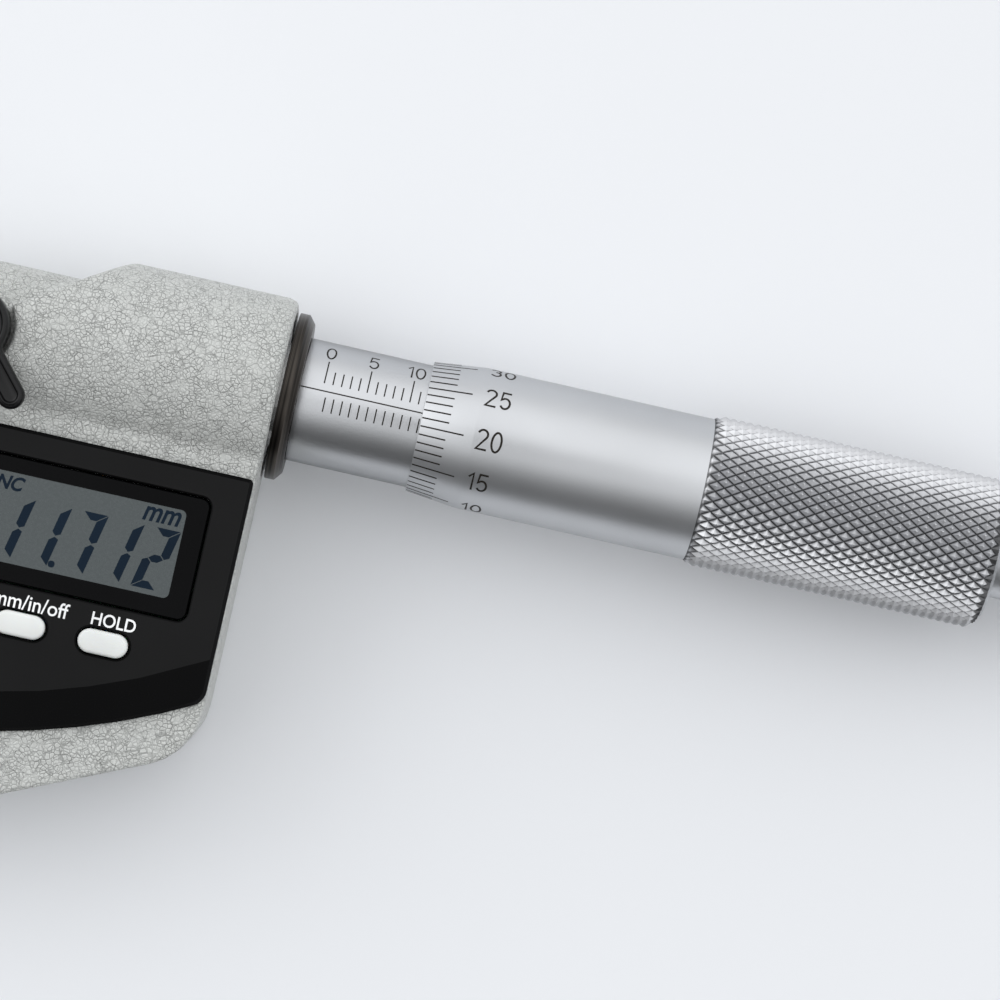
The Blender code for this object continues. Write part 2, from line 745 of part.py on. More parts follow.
def make_battery():
    x, y = BATTERY_AT
    at = (x, y, 0.0)
    rod("battery", "nickel", -8.6, -3.2, 5.8, "Z", at)
    holder = tube("battery_holder", "black_plastic", -8.3, -2.2, 6.1, 7.4, "Z", at)
    cut(holder, box("holder_notch", None, (x + 5.0, y - 1.9, -9.0), (x + 9.0, y + 1.9, -1.0)))
    box("battery_contact_plus", "nickel", (x + 6.5, y - 1.5, -7.5), (x + 6.8, y + 1.5, -2.2))
    box("battery_contact_minus", "nickel", (x - 3.5, y - 1.5, -2.8), (x + 3.5, y + 1.5, -2.3))

    profile = [(-8.95, 0.0), (-8.95, 5.5), (-9.9, 5.5), (-9.9, 7.3), (-11.3, 7.3), (-11.3, 0.0)]
    cap = turned("battery_cap", "black_plastic", profile, "Z", at)
    cut(cap, box("coin_slot", None, (x - 4.5, y - 0.7, -12.0), (x + 4.5, y + 0.7, -10.4)))
    profile = [(-8.8, 6.4), (-9.0, 7.0), (-9.4, 7.0), (-9.6, 6.4), (-9.4, 5.8), (-9.0, 5.8)]
    turned("battery_seal", "black_rubber", profile, "Z", at)


def smooth_parts():
    """Round faces shade smooth, and edges sharper than 35 degrees stay sharp."""
    for obj in PARTS.objects:
        if obj.type == "MESH" and len(obj.data.polygons):
            obj.data.shade_smooth()
            obj.data.set_sharp_from_angle(angle=math.radians(35))


for old in list(bpy.data.objects):
    bpy.data.objects.remove(old)
PARTS = new_collection("outside_micrometer")
CUTTERS = new_collection("cutters")
make_materials()
make_frame()
make_anvil()
make_guide()
make_lock()
make_spindle()
make_thimble()
make_ratchet()
make_ratchet_spring()
make_sleeves()
make_encoder()
make_bezel()
make_electronics()
make_buttons()
make_battery()
smooth_parts()
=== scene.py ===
"""Looks for the outside micrometer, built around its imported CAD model.

Sizes are in millimetres in the model's frame: the origin is at the centre of the anvil's face, +X runs along
the spindle to the ratchet, +Y to the open side of the throat, and +Z out of the display. The functions that
make pieces turn them into metres. Angles round the spindle are measured from +Z towards +Y.
"""

import math

import bmesh
import bpy
from mathutils import Matrix, Vector


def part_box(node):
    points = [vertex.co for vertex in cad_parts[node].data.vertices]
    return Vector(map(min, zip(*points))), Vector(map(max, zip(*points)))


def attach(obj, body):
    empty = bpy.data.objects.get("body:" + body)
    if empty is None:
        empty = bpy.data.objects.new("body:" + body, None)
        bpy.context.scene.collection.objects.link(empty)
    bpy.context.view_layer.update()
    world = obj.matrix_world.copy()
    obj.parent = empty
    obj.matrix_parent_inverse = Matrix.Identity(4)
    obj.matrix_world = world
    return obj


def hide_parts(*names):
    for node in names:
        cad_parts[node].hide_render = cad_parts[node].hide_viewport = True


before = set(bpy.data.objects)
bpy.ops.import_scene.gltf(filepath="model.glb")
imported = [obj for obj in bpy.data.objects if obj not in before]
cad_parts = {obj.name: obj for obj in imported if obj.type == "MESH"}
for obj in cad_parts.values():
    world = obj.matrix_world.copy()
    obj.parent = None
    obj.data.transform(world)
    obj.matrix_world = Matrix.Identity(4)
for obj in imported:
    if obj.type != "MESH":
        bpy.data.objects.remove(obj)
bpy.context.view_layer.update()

MM = 0.001

# Scales
DIVISIONS = 50
TICK_WIDTH = 0.15
THIMBLE_TICK = 0.18
PROUD = 0.012  # how far a mark stands out of its surface
SUNK = 0.03  # how far it reaches in
ZERO_X = 78.12  # the sleeve's mark for 0
AT_DATUM = 21.6  # the thimble's division at the datum line
DATUM_DEG = 11.0  # the datum line's angle
SLEEVE_NUMBER_CAP = 2.24
SLEEVE_STROKE = 0.20
THIMBLE_NUMBER_CAP = 2.5
THIMBLE_STROKE = 0.25
CONE_LENGTH = 6.25

# Knurls
THIMBLE_KNURL = (33.22, 67.75)
KNURL_DEPTH = 0.5
KNURL_SHARE = 0.13  # half a point's flat top, as a share of a column or a row
COLUMNS = 88
KNOB_COLUMNS = 72

# Display
LCD_VIEW = (35.0, -25.6, 66.25, -15.4)
DIGIT_TOP = -17.9
DIGIT_BASE = -25.0
DIGIT_WIDTH = 2.85
DIGIT_PITCH = 4.2
LAST_DIGIT_RIGHT = 66.1
DIGIT_SLANT = math.tan(math.radians(12.0))

# Lock lever
LEVER_HUB_R = 4.25
LEVER_TIP = (6.05, -6.95)
LEVER_HALF = 1.6
LEVER_FILLET = 1.2

# Studio
TENT_PEAK = 1.30


def span(node):
    """A CAD node's lowest and highest corners, in millimetres."""
    low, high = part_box(node)
    return low / MM, high / MM


# --- Finishes ---------------------------------------------------------------------------------------


class Graph:
    """Short calls for the nodes of a material or of the sky."""

    def __init__(self, tree):
        self.nodes = tree.nodes
        self.links = tree.links

    def calculated(self, kind, operation, values, output=0):
        """The output of a maths node. A value is a socket, or a number or vector for a socket."""
        node = self.nodes.new(kind)
        node.operation = operation
        for socket, value in zip(node.inputs, values):
            if isinstance(value, bpy.types.NodeSocket):
                self.links.new(value, socket)
            else:
                socket.default_value = value
        return node.outputs[output]

    def maths(self, operation, *values):
        return self.calculated("ShaderNodeMath", operation, values)

    def vector_maths(self, operation, *values, output="Vector"):
        return self.calculated("ShaderNodeVectorMath", operation, values, output)

    def spread(self, value, low, high, to_low, to_high, smooth=False):
        """Maps a value from the range low to high onto to_low to to_high."""
        node = self.nodes.new("ShaderNodeMapRange")
        if smooth:
            node.interpolation_type = "SMOOTHSTEP"
        self.links.new(value, node.inputs["Value"])
        sockets = ("From Min", "From Max", "To Min", "To Max")
        for socket, number in zip(sockets, (low, high, to_low, to_high)):
            node.inputs[socket].default_value = number
        return node.outputs["Result"]


class Finish(Graph):
    """A Principled material, with short calls for the patterns that the finishes here use."""

    def __init__(self, name, colour, roughness, metallic=0.0, **sockets):
        self.material = bpy.data.materials.new(name)
        self.material.use_nodes = True
        super().__init__(self.material.node_tree)
        self.shader = self.nodes["Principled BSDF"]
        self.colour = colour
        self.shader.inputs["Base Color"].default_value = (*colour, 1.0)
        self.shader.inputs["Roughness"].default_value = roughness
        self.shader.inputs["Metallic"].default_value = metallic
        for socket, value in sockets.items():
            self.shader.inputs[socket.replace("_", " ")].default_value = value
        self.place = self.nodes.new("ShaderNodeTexCoord").outputs["Object"]
        self.normal = None

    def stretched(self, x, y, z):
        """The place on the object, scaled by so many per metre along each axis."""
        return self.vector_maths("MULTIPLY", self.place, (x, y, z))

    def off_axis(self):
        """How far the place is from the object's X axis."""
        return self.vector_maths("LENGTH", self.stretched(0.0, 1.0, 1.0), output="Value")

    def noise(self, scale, detail=2.0, vector=None, output="Fac"):
        node = self.nodes.new("ShaderNodeTexNoise")
        node.inputs["Scale"].default_value = scale
        node.inputs["Detail"].default_value = detail
        self.links.new(vector or self.place, node.inputs["Vector"])
        return node.outputs[output]

    def cells(self, scale, vector):
        """How far the place is from the edge of the cell that it is in."""
        node = self.nodes.new("ShaderNodeTexVoronoi")
        node.feature = "DISTANCE_TO_EDGE"
        node.inputs["Scale"].default_value = scale
        self.links.new(vector, node.inputs["Vector"])
        return node.outputs["Distance"]

    def warped(self, scale, amount):
        """The place on the object, pushed about by a noise of this scale by up to half of amount."""
        centred = self.vector_maths("SUBTRACT", self.noise(scale, 3.0, output="Color"), (0.5, 0.5, 0.5))
        return self.vector_maths("MULTIPLY_ADD", centred, (amount, amount, amount), self.place)

    def tint(self, amount, low, high):
        """Colours the surface from low, where amount is 0, to high, where it is 1."""
        node = self.nodes.new("ShaderNodeMix")
        node.data_type = "RGBA"
        self.links.new(amount, node.inputs["Factor"])
        node.inputs["A"].default_value = (*low, 1.0)
        node.inputs["B"].default_value = (*high, 1.0)
        self.links.new(node.outputs["Result"], self.shader.inputs["Base Color"])

    def shaded(self, amount, low, high):
        """Tints between two multiples of the finish's own colour."""
        dark = tuple(low * part for part in self.colour)
        light = tuple(min(1.0, high * part) for part in self.colour)
        self.tint(amount, dark, light)

    def rough(self, amount, low, high):
        self.links.new(self.spread(amount, 0.0, 1.0, low, high), self.shader.inputs["Roughness"])

    def bump(self, height, depth):
        """Adds relief of this depth in metres, over any that is there already."""
        node = self.nodes.new("ShaderNodeBump")
        node.inputs["Distance"].default_value = depth
        node.inputs["Strength"].default_value = 1.0
        self.links.new(height, node.inputs["Height"])
        if self.normal:
            self.links.new(self.normal, node.inputs["Normal"])
        self.normal = node.outputs["Normal"]
        self.links.new(self.normal, self.shader.inputs["Normal"])


def enamel():
    """Thick grey hammer enamel: small domed cells, pale at the rim, in groups with darker lines between."""
    finish = Finish("hammer_enamel", (0.535, 0.545, 0.525), 0.40, Specular_IOR_Level=0.45)
    place = finish.warped(900.0, 0.0005)
    wide = finish.cells(880.0, place)
    narrow = finish.cells(2000.0, place)
    small_lines = finish.spread(narrow, 0.0, 0.10, 0.0, 1.0, smooth=True)
    rims = finish.spread(narrow, 0.12, 0.34, 1.0, 0.62, smooth=True)
    small = finish.maths("MULTIPLY", small_lines, rims)
    faint = finish.spread(finish.noise(520.0, 2.0), 0.42, 0.66, 0.05, 0.62)
    cells = finish.maths("MAXIMUM", small, faint)
    wide_lines = finish.spread(wide, 0.0, 0.06, 0.0, 1.0, smooth=True)
    faded = finish.spread(finish.noise(700.0, 2.0), 0.40, 0.66, 0.0, 0.8)
    groups = finish.maths("MAXIMUM", wide_lines, faded)
    drawn = finish.maths("MULTIPLY", groups, cells)
    finish.shaded(drawn, 0.60, 1.13)
    finish.rough(drawn, 0.55, 0.34)
    finish.bump(finish.spread(narrow, 0.0, 0.30, 0.0, 1.0, smooth=True), 0.00006)
    finish.bump(finish.maths("ADD", groups, cells), 0.00004)
    finish.bump(finish.noise(2600.0, 3.0), 0.00003)
    return finish.material


def satin_metal(name, colour, roughness, lines=1.0, across=False, blasted=1.0, rim=1.0):
    """Metal with fine turning marks round X, or round Z if across. The grain's depth goes with blasted."""
    finish = Finish(name, colour, roughness, 1.0, Specular_Tint=(rim, rim, rim, 1.0))
    marks = (60.0, 60.0, 9000.0) if across else (9000.0, 60.0, 60.0)
    turning = finish.noise(1.0, 3.0, finish.stretched(*marks))
    grain = finish.noise(5200.0, 2.0)
    cloud = finish.noise(55.0, 3.0)
    finish.shaded(finish.spread(cloud, 0.3, 0.7, 0.0, 1.0), 0.93, 1.04)
    finish.rough(grain, roughness - 0.08, roughness + 0.08)
    finish.bump(turning, 0.0000045 * lines)
    finish.bump(grain, 0.000005 * blasted)
    return finish.material


def knurled_metal(name, colour, roughness, groove, crest):
    """Satin metal whose colour darkens into the grooves of a knurl about the X axis: painted shade, with
    some grime.
    """
    finish = Finish(name, colour, roughness, 1.0, Specular_Tint=(0.5, 0.5, 0.5, 1.0))
    height = finish.spread(finish.off_axis(), groove * MM, crest * MM, 0.0, 1.0)
    grain = finish.noise(5200.0, 3.0)
    # painted shade: the colour drops to 0.22 of the metal's towards the groove bottoms, standing for the
    # shade there and some grime
    finish.shaded(finish.spread(height, 0.0, 0.34, 0.0, 1.0, smooth=True), 0.22, 1.0)
    finish.rough(grain, roughness - 0.06, roughness + 0.10)
    finish.bump(grain, 0.000012)
    return finish.material


def oxide():
    """Steel blacked with oxide, with coarse turning marks that show brown."""
    finish = Finish("black_oxide_steel", (0.05, 0.043, 0.037), 0.38, 1.0)
    turning = finish.noise(1.0, 2.0, finish.stretched(4200.0, 25.0, 25.0))
    stain = finish.noise(240.0, 4.0)
    finish.tint(finish.spread(turning, 0.35, 0.68, 0.0, 1.0), (0.012, 0.011, 0.010), (0.085, 0.075, 0.066))
    finish.rough(stain, 0.22, 0.46)
    finish.bump(turning, 0.00002)
    return finish.material


def plastic(name, colour, roughness, grain=0.000006, **sockets):
    """Moulded plastic with a fine grain."""
    finish = Finish(name, colour, roughness, **sockets)
    texture = finish.noise(4200.0, 3.0)
    finish.shaded(finish.spread(finish.noise(90.0, 3.0), 0.3, 0.7, 0.0, 1.0), 0.86, 1.12)
    finish.rough(texture, roughness - 0.06, roughness + 0.06)
    if grain:
        finish.bump(texture, grain)
    return finish.material


def speckled(name, colour, roughness, scale, low=0.8, high=1.15, metallic=0.0, depth=0.00001):
    """A cast, moulded or plated stock surface, varied at one scale."""
    finish = Finish(name, colour, roughness, metallic)
    texture = finish.noise(scale, 4.0)
    finish.shaded(finish.spread(texture, 0.3, 0.7, 0.0, 1.0), low, high)
    finish.rough(texture, roughness - 0.05, roughness + 0.07)
    finish.bump(texture, depth)
    return finish.material


def board():
    """Green solder mask with faint copper tracks under it."""
    finish = Finish("solder_mask", (0.012, 0.10, 0.045), 0.32, Coat_Weight=0.3)
    pattern = finish.noise(1.0, 0.0, finish.stretched(900.0, 260.0, 260.0))
    tracks = finish.spread(pattern, 0.52, 0.55, 0.0, 1.0)
    finish.tint(tracks, (0.010, 0.085, 0.038), (0.03, 0.15, 0.06))
    finish.bump(tracks, 0.00002)
    return finish.material


def zebra():
    """Layers of conducting and insulating rubber along the strip."""
    finish = Finish("zebra_layers", (0.10, 0.08, 0.08), 0.6)
    pattern = finish.noise(1.0, 0.0, finish.stretched(5200.0, 1.0, 1.0))
    layers = finish.spread(pattern, 0.48, 0.52, 0.0, 1.0)
    finish.tint(layers, (0.02, 0.02, 0.02), (0.38, 0.20, 0.19))
    return finish.material


ENAMEL = enamel()
CHROME = satin_metal("satin_chrome_plate", (0.60, 0.61, 0.625), 0.38, rim=0.75)
SLEEVE_CHROME = satin_metal("sleeve_satin_chrome", (0.585, 0.595, 0.61), 0.33, blasted=2.2, rim=0.55)
THIMBLE_GRIP = knurled_metal("thimble_grip_chrome", (0.56, 0.565, 0.58), 0.38, 8.35, 8.85)
KNOB_GRIP = knurled_metal("knob_grip_chrome", (0.56, 0.565, 0.58), 0.38, 5.70, 6.0)
STEEL = satin_metal("ground_steel", (0.60, 0.60, 0.59), 0.24)
CARBIDE = satin_metal("lapped_carbide", (0.34, 0.35, 0.36), 0.20, 0.5)
OXIDE = oxide()
SCREW_STEEL = satin_metal("dark_screw_steel", (0.10, 0.10, 0.10), 0.32, 1.5, across=True)
MATTE_BLACK = plastic("matte_black_plastic", (0.007, 0.007, 0.0072), 0.44, 0.00001, Specular_IOR_Level=0.12)
GLOSS_BLACK = plastic("gloss_black_plastic", (0.0025, 0.0025, 0.0027), 0.26, 0.0, Specular_IOR_Level=0.06)
LEVER_BLACK = plastic("lever_black_plastic", (0.005, 0.005, 0.0052), 0.24, 0.000003, Specular_IOR_Level=0.25)
WHITE = plastic("white_plastic_cap", (0.76, 0.76, 0.735), 0.36, 0.000004, Subsurface_Weight=0.05)
PRINT_WHITE = plastic("white_print", (0.86, 0.87, 0.87), 0.5, 0.000002)
MASK = plastic("window_mask_black", (0.0022, 0.0022, 0.0025), 0.10, 0.0, Specular_IOR_Level=0.25)
LCD_GREY = speckled("lcd_grey", (0.074, 0.086, 0.088), 0.26, 2400.0, 0.97, 1.03, depth=0.000001)
LCD_INK = plastic("lcd_ink", (0.005, 0.013, 0.025), 0.30, 0.0, Specular_IOR_Level=0.12)
SCALE_INK = plastic("scale_ink", (0.016, 0.013, 0.010), 0.50, 0.000002, Specular_IOR_Level=0.2)

FINISHES = {
    "grey_enamel": ENAMEL,
    "tool_steel": STEEL,
    "carbide": CARBIDE,
    "satin_chrome": CHROME,
    "black_oxide": OXIDE,
    "bronze": satin_metal("sintered_bronze", (0.62, 0.42, 0.22), 0.40),
    "spring_steel": satin_metal("spring_wire", (0.50, 0.50, 0.50), 0.30),
    "black_plastic": MATTE_BLACK,
    "black_rubber": speckled("nitrile_rubber", (0.015, 0.015, 0.015), 0.75, 1800.0),
    "window_acrylic": MASK,
    "lcd_glass": LCD_GREY,
    "zebra_rubber": zebra(),
    "circuit_board": board(),
    "chip_epoxy": speckled("chip_epoxy_black", (0.02, 0.02, 0.02), 0.5, 2600.0),
    "amber_film": speckled("polyimide_film", (0.45, 0.20, 0.04), 0.3, 500.0),
    "white_plastic": WHITE,
    "grey_silicone": speckled("silicone_grey", (0.25, 0.25, 0.26), 0.68, 1500.0),
    "nickel": speckled("nickel_plate", (0.62, 0.60, 0.56), 0.26, 700.0, 0.94, 1.05, 1.0, 0.000004),
    "dark_screw": SCREW_STEEL,
}

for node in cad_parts.values():
    for slot in node.material_slots:
        slot.material = FINISHES[slot.material.name.split(".")[0]]


# --- Shapes -----------------------------------------------------------------------------------------


def piece(name, shape, finish, body, replaced=(), smooth=32.0):
    """A finished piece from a shape in millimetres. finish may be a list, used by the faces' own index."""
    bmesh.ops.recalc_face_normals(shape, faces=shape.faces)
    bmesh.ops.scale(shape, vec=(MM, MM, MM), verts=shape.verts)
    mesh = bpy.data.meshes.new(name)
    shape.to_mesh(mesh)
    shape.free()
    mesh.shade_smooth()
    mesh.set_sharp_from_angle(angle=math.radians(smooth))
    for material in finish if isinstance(finish, list) else [finish]:
        mesh.materials.append(material)
    obj = bpy.data.objects.new(name, mesh)
    bpy.context.scene.collection.objects.link(obj)
    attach(obj, body)
    if replaced:
        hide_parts(*replaced)
    return obj


def eased(profile, steps=3, closed=True):
    """A profile of (along, radius, edge), with each corner rounded by its edge radius."""
    points = []
    count = len(profile)
    for i, (along, radius, edge) in enumerate(profile):
        corner = Vector((along, radius))
        if edge == 0 or (not closed and i in (0, count - 1)):
            points.append(tuple(corner))
            continue
        back = (Vector(profile[i - 1][:2]) - corner).normalized()
        ahead = (Vector(profile[(i + 1) % count][:2]) - corner).normalized()
        half = back.angle(ahead) / 2
        reach = edge / math.tan(half)
        centre = corner + (back + ahead).normalized() * edge / math.sin(half)
        first, last = corner + back * reach - centre, corner + ahead * reach - centre
        for step in range(steps + 1):
            points.append(tuple(centre + edge * first.slerp(last, step / steps)))
    return points


def ring(shape, along, radius, steps, axis="X", at=(0.0, 0.0, 0.0)):
    """The vertices of a circle about an axis, or a single one where the radius is 0."""
    if radius == 0:
        offset = (along, 0.0, 0.0) if axis == "X" else (0.0, 0.0, along)
        return [shape.verts.new(Vector(offset) + Vector(at))]
    verts = []
    for i in range(steps):
        angle = 2 * math.pi * i / steps
        across, up = radius * math.sin(angle), radius * math.cos(angle)
        offset = (along, across, up) if axis == "X" else (across, up, along)
        verts.append(shape.verts.new(Vector(offset) + Vector(at)))
    return verts


def stitch(shape, first, second, finish=0):
    """Faces between two rings of equal counts, or between a ring and a single vertex."""
    steps = max(len(first), len(second))
    for i in range(steps):
        corners = [first[i % len(first)], first[(i + 1) % len(first)]]
        corners += [second[(i + 1) % len(second)], second[i % len(second)]]
        shape.faces.new(list(dict.fromkeys(corners))).material_index = finish


def stitch_all(shape, rings):
    for first, second in zip(rings, rings[1:]):
        stitch(shape, first, second)


def lathe(profile, steps=128, axis="X", at=(0.0, 0.0, 0.0)):
    """A profile of (along, radius) turned about an axis. It is closed, or starts and ends on the axis."""
    shape = bmesh.new()
    rings = [ring(shape, along, radius, steps, axis, at) for along, radius in profile]
    if profile[0][1] > 0:
        rings.append(rings[0])
    stitch_all(shape, rings)
    return shape


def cut_from(target, shape):
    """Cuts a shape in millimetres out of a piece."""
    cutter_mesh = bpy.data.meshes.new("cutter")
    bmesh.ops.recalc_face_normals(shape, faces=shape.faces)
    bmesh.ops.scale(shape, vec=(MM, MM, MM), verts=shape.verts)
    shape.to_mesh(cutter_mesh)
    shape.free()
    cutter = bpy.data.objects.new("cutter", cutter_mesh)
    bpy.context.scene.collection.objects.link(cutter)
    step = target.modifiers.new("Cut", "BOOLEAN")
    step.operation = "DIFFERENCE"
    step.solver = "EXACT"
    step.object = cutter
    bpy.context.view_layer.update()
    evaluated = target.evaluated_get(bpy.context.evaluated_depsgraph_get())
    mesh = bpy.data.meshes.new_from_object(evaluated)
    target.modifiers.clear()
    target.data = mesh
    bpy.data.objects.remove(cutter)
    mesh.set_sharp_from_angle(angle=math.radians(32.0))


def block(low, high):
    """A box between two corners, as a cutting shape."""
    shape = bmesh.new()
    bmesh.ops.create_cube(shape, size=1.0)
    low, high = Vector(low), Vector(high)
    for v in shape.verts:
        v.co = Vector(((low[i] + high[i]) / 2 + v.co[i] * (high[i] - low[i]) for i in range(3)))
    return shape


def knurl(shape, start, end, crest_at, depth, columns, rows):
    """Diamond points in rows from start to end, whose crests lie at crest_at(along).

    Returns the first and the last ring of vertices. The knurl's faces use the second finish.
    """
    grid = {}
    share = KNURL_SHARE

    def vertex(i, j, drop):
        angle = 2 * math.pi * i / columns
        along = start + (end - start) * j / rows
        radius = crest_at(along) - drop
        return shape.verts.new((along, radius * math.sin(angle), radius * math.cos(angle)))

    def face(*corners):
        shape.faces.new(corners).material_index = 1

    for j in range(rows + 1):
        for i in range(columns):
            pointed = (i + j) % 2 == 0
            if not pointed:
                grid[i, j] = vertex(i, j, depth)
            elif j in (0, rows):
                grid[i, j] = vertex(i, j, depth / 2)
    for j in range(rows + 1):
        for i in range((j % 2), columns, 2):
            left, right = (i - 1) % columns, (i + 1) % columns
            if j in (0, rows):
                inner = grid[i, 1] if j == 0 else grid[i, rows - 1]
                face(grid[left, j], grid[i, j], inner)
                face(grid[i, j], grid[right, j], inner)
                continue
            corners = [grid[left, j], grid[i, j - 1], grid[right, j], grid[i, j + 1]]
            steps = ((-share, 0.0), (0.0, -share), (share, 0.0), (0.0, share))
            tops = [vertex(i + across, j + along, 0.0) for across, along in steps]
            face(*tops)
            for k in range(4):
                face(corners[k], corners[k - 3], tops[k - 3], tops[k])
    return [grid[i, 0] for i in range(columns)], [grid[i, rows] for i in range(columns)]


def layered(rings):
    """A solid from outlines of equal point counts, each given as (points, z), from the bottom up."""
    shape = bmesh.new()
    levels = [[shape.verts.new((x, y, z)) for x, y in points] for points, z in rings]
    stitch_all(shape, levels)
    shape.faces.new(levels[0])
    shape.faces.new(levels[-1])
    return shape


def slab_outline(x0, y0, x1, y1, radius, steps=6):
    """A rectangle with round corners."""
    points = []
    corners = ((x1, y1, 0), (x0, y1, 90), (x0, y0, 180), (x1, y0, 270))
    for x, y, turn in corners:
        cx = x - radius if x == x1 else x + radius
        cy = y - radius if y == y1 else y + radius
        for step in range(steps + 1):
            angle = math.radians(turn + 90.0 * step / steps)
            points.append((cx + radius * math.cos(angle), cy + radius * math.sin(angle)))
    return points


def merged(shapes):
    """One shape from several, each left as it is."""
    whole = bmesh.new()
    for shape in shapes:
        mesh = bpy.data.meshes.new("merging")
        shape.to_mesh(mesh)
        shape.free()
        whole.from_mesh(mesh)
        bpy.data.meshes.remove(mesh)
    return whole


def copied(node):
    """A CAD node's mesh as a shape in millimetres, welded."""
    shape = bmesh.new()
    shape.from_mesh(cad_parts[node].data)
    bmesh.ops.scale(shape, vec=(1 / MM, 1 / MM, 1 / MM), verts=shape.verts)
    bmesh.ops.remove_doubles(shape, verts=shape.verts, dist=0.0005)
    return shape


# --- Lettering --------------------------------------------------------------------------------------


def text_shape(text, slant=0.0, weight=0.0):
    """The flat outline of a text in Blender's own font, at the font's own size."""
    curve = bpy.data.curves.new("text", "FONT")
    curve.body = text
    curve.shear = slant
    curve.offset = weight
    curve.resolution_u = 5
    drawn = bpy.data.objects.new("text", curve)
    bpy.context.scene.collection.objects.link(drawn)
    bpy.context.view_layer.update()
    evaluated = drawn.evaluated_get(bpy.context.evaluated_depsgraph_get())
    mesh = bpy.data.meshes.new_from_object(evaluated)
    shape = bmesh.new()
    shape.from_mesh(mesh)
    bmesh.ops.remove_doubles(shape, verts=shape.verts, dist=1e-5)
    bpy.data.objects.remove(drawn)
    bpy.data.meshes.remove(mesh)
    return shape


def fitted(shape, x0, y0, x1, y1):
    """Stretches a flat shape to fill a rectangle."""
    xs = [v.co.x for v in shape.verts]
    ys = [v.co.y for v in shape.verts]
    for v in shape.verts:
        v.co.x = x0 + (v.co.x - min(xs)) / (max(xs) - min(xs)) * (x1 - x0)
        v.co.y = y0 + (v.co.y - min(ys)) / (max(ys) - min(ys)) * (y1 - y0)
    return shape


def thickened(shape, low, high):
    """Turns a flat shape at height 0 into a closed solid from low to high."""
    for v in shape.verts:
        v.co.z = low
    lifted = bmesh.ops.extrude_face_region(shape, geom=shape.faces[:], use_keep_orig=True)
    for item in lifted["geom"]:
        if isinstance(item, bmesh.types.BMVert):
            item.co.z = high
    return shape


def sliced(shape, step):
    """Cuts a flat shape across at every step, so that it can bend smoothly round a cylinder."""
    ys = [v.co.y for v in shape.verts]
    y = min(ys) + step
    while y < max(ys):
        everything = shape.verts[:] + shape.edges[:] + shape.faces[:]
        bmesh.ops.bisect_plane(shape, geom=everything, dist=1e-6, plane_co=(0, y, 0), plane_no=(0, 1, 0))
        y += step
    return shape


def strip(x0, x1, y0, y1):
    """A flat rectangle."""
    shape = bmesh.new()
    shape.faces.new([shape.verts.new((x, y, 0.0)) for x, y in ((x0, y0), (x1, y0), (x1, y1), (x0, y1))])
    return shape


def wrapped(shape, radius_at):
    """Bends a solid drawn as (x, arc, height) round the spindle. An arc of 1 is one radian."""
    for v in shape.verts:
        radius = radius_at(v.co.x) + v.co.z
        v.co = Vector((v.co.x, radius * math.sin(v.co.y), radius * math.cos(v.co.y)))
    return shape


def arc_piece(flats, radius_at, cut_angle=0.03):
    """One solid from flat shapes drawn as (x, arc in radians), bent round the spindle."""
    solids = [thickened(sliced(flat, cut_angle), -SUNK, PROUD) for flat in flats]
    return wrapped(merged(solids), radius_at)


def ribbon(points, width, closed=False):
    """A flat stroke of even width along a line of points, mitred at its bends."""
    shape = bmesh.new()
    count = len(points)
    sides = []
    for i, point in enumerate(points):
        here = Vector(point)
        before = Vector(points[i - 1]) if closed or i else None
        after = Vector(points[(i + 1) % count]) if closed or i < count - 1 else None
        way_in = (here - before).normalized() if before else (after - here).normalized()
        way_out = (after - here).normalized() if after else way_in
        across = Vector((-way_in.y - way_out.y, way_in.x + way_out.x)).normalized()
        reach = width / 2 / max(0.6, across.dot(Vector((-way_in.y, way_in.x))))
        sides.append([shape.verts.new((*(here + across * reach * sign), 0.0)) for sign in (1, -1)])
    pairs = list(zip(sides, sides[1:])) + ([(sides[-1], sides[0])] if closed else [])
    for one, other in pairs:
        shape.faces.new((one[0], one[1], other[1], other[0]))
    return shape


def bend(x, y, across, up, start, end, steps=14):
    """Points on an ellipse round (x, y), from one angle to another in degrees."""
    angles = [math.radians(start + (end - start) * i / steps) for i in range(steps + 1)]
    return [(x + across * math.cos(angle), y + up * math.sin(angle)) for angle in angles]


def strokes(digit, w):
    """The centre lines of a digit 1 high, for strokes w wide. Returns them and the digit's width."""
    h = w / 2
    top, right = 1 - h, 0.54 - h
    mid = 0.27
    r = mid - h
    stem = 0.38
    lines = {
        "0": [bend(mid, 0.5, r, 0.5 - h, 90, 434, 31)],
        "1": [[(h, 0.74), (0.26, top), (0.26, 0.0)]],
        "2": [bend(mid, top - r, r, r, 165, -38) + [(h, h), (0.54, h)]],
        "3": [bend(mid, top - 0.22, r, 0.22, 150, -90), bend(mid, h + 0.25, r, 0.25, 90, -150)],
        "4": [
            [(stem - h, 0.28), (h / 2, 0.28), (stem, top), (stem, 0.0)],
            [(stem + h, 0.28), (0.54, 0.28)],
        ],
        "5": [
            [(0.50, top), (0.12, top), (0.07, 0.50)]
            + bend(mid, 0.31 + h / 2, r, 0.31 - h / 2, 128, -150)
        ],
    }
    return lines[digit], (0.26 + h if digit == "1" else 0.54)


def figure(text, x, y, cap, stroke, centred=False):
    """The flat outlines of a number cap high, from its lower left corner or about its middle."""
    gap = 0.13
    drawn = [strokes(digit, stroke / cap) for digit in text]
    if centred:
        x -= cap * (sum(width for _, width in drawn) + gap * (len(text) - 1)) / 2
    flats = []
    for digit, (lines, width) in zip(text, drawn):
        for line in lines:
            points = [(x + px * cap, y + py * cap) for px, py in line]
            flats.append(ribbon(points, stroke, digit == "0"))
        x += (width + gap) * cap
    return flats


def rolled_up(flats, radius):
    """Turns heights in millimetres into arcs in radians."""
    for flat in flats:
        for v in flat.verts:
            v.co.y /= radius
    return flats


# --- Frame ------------------------------------------------------------------------------------------


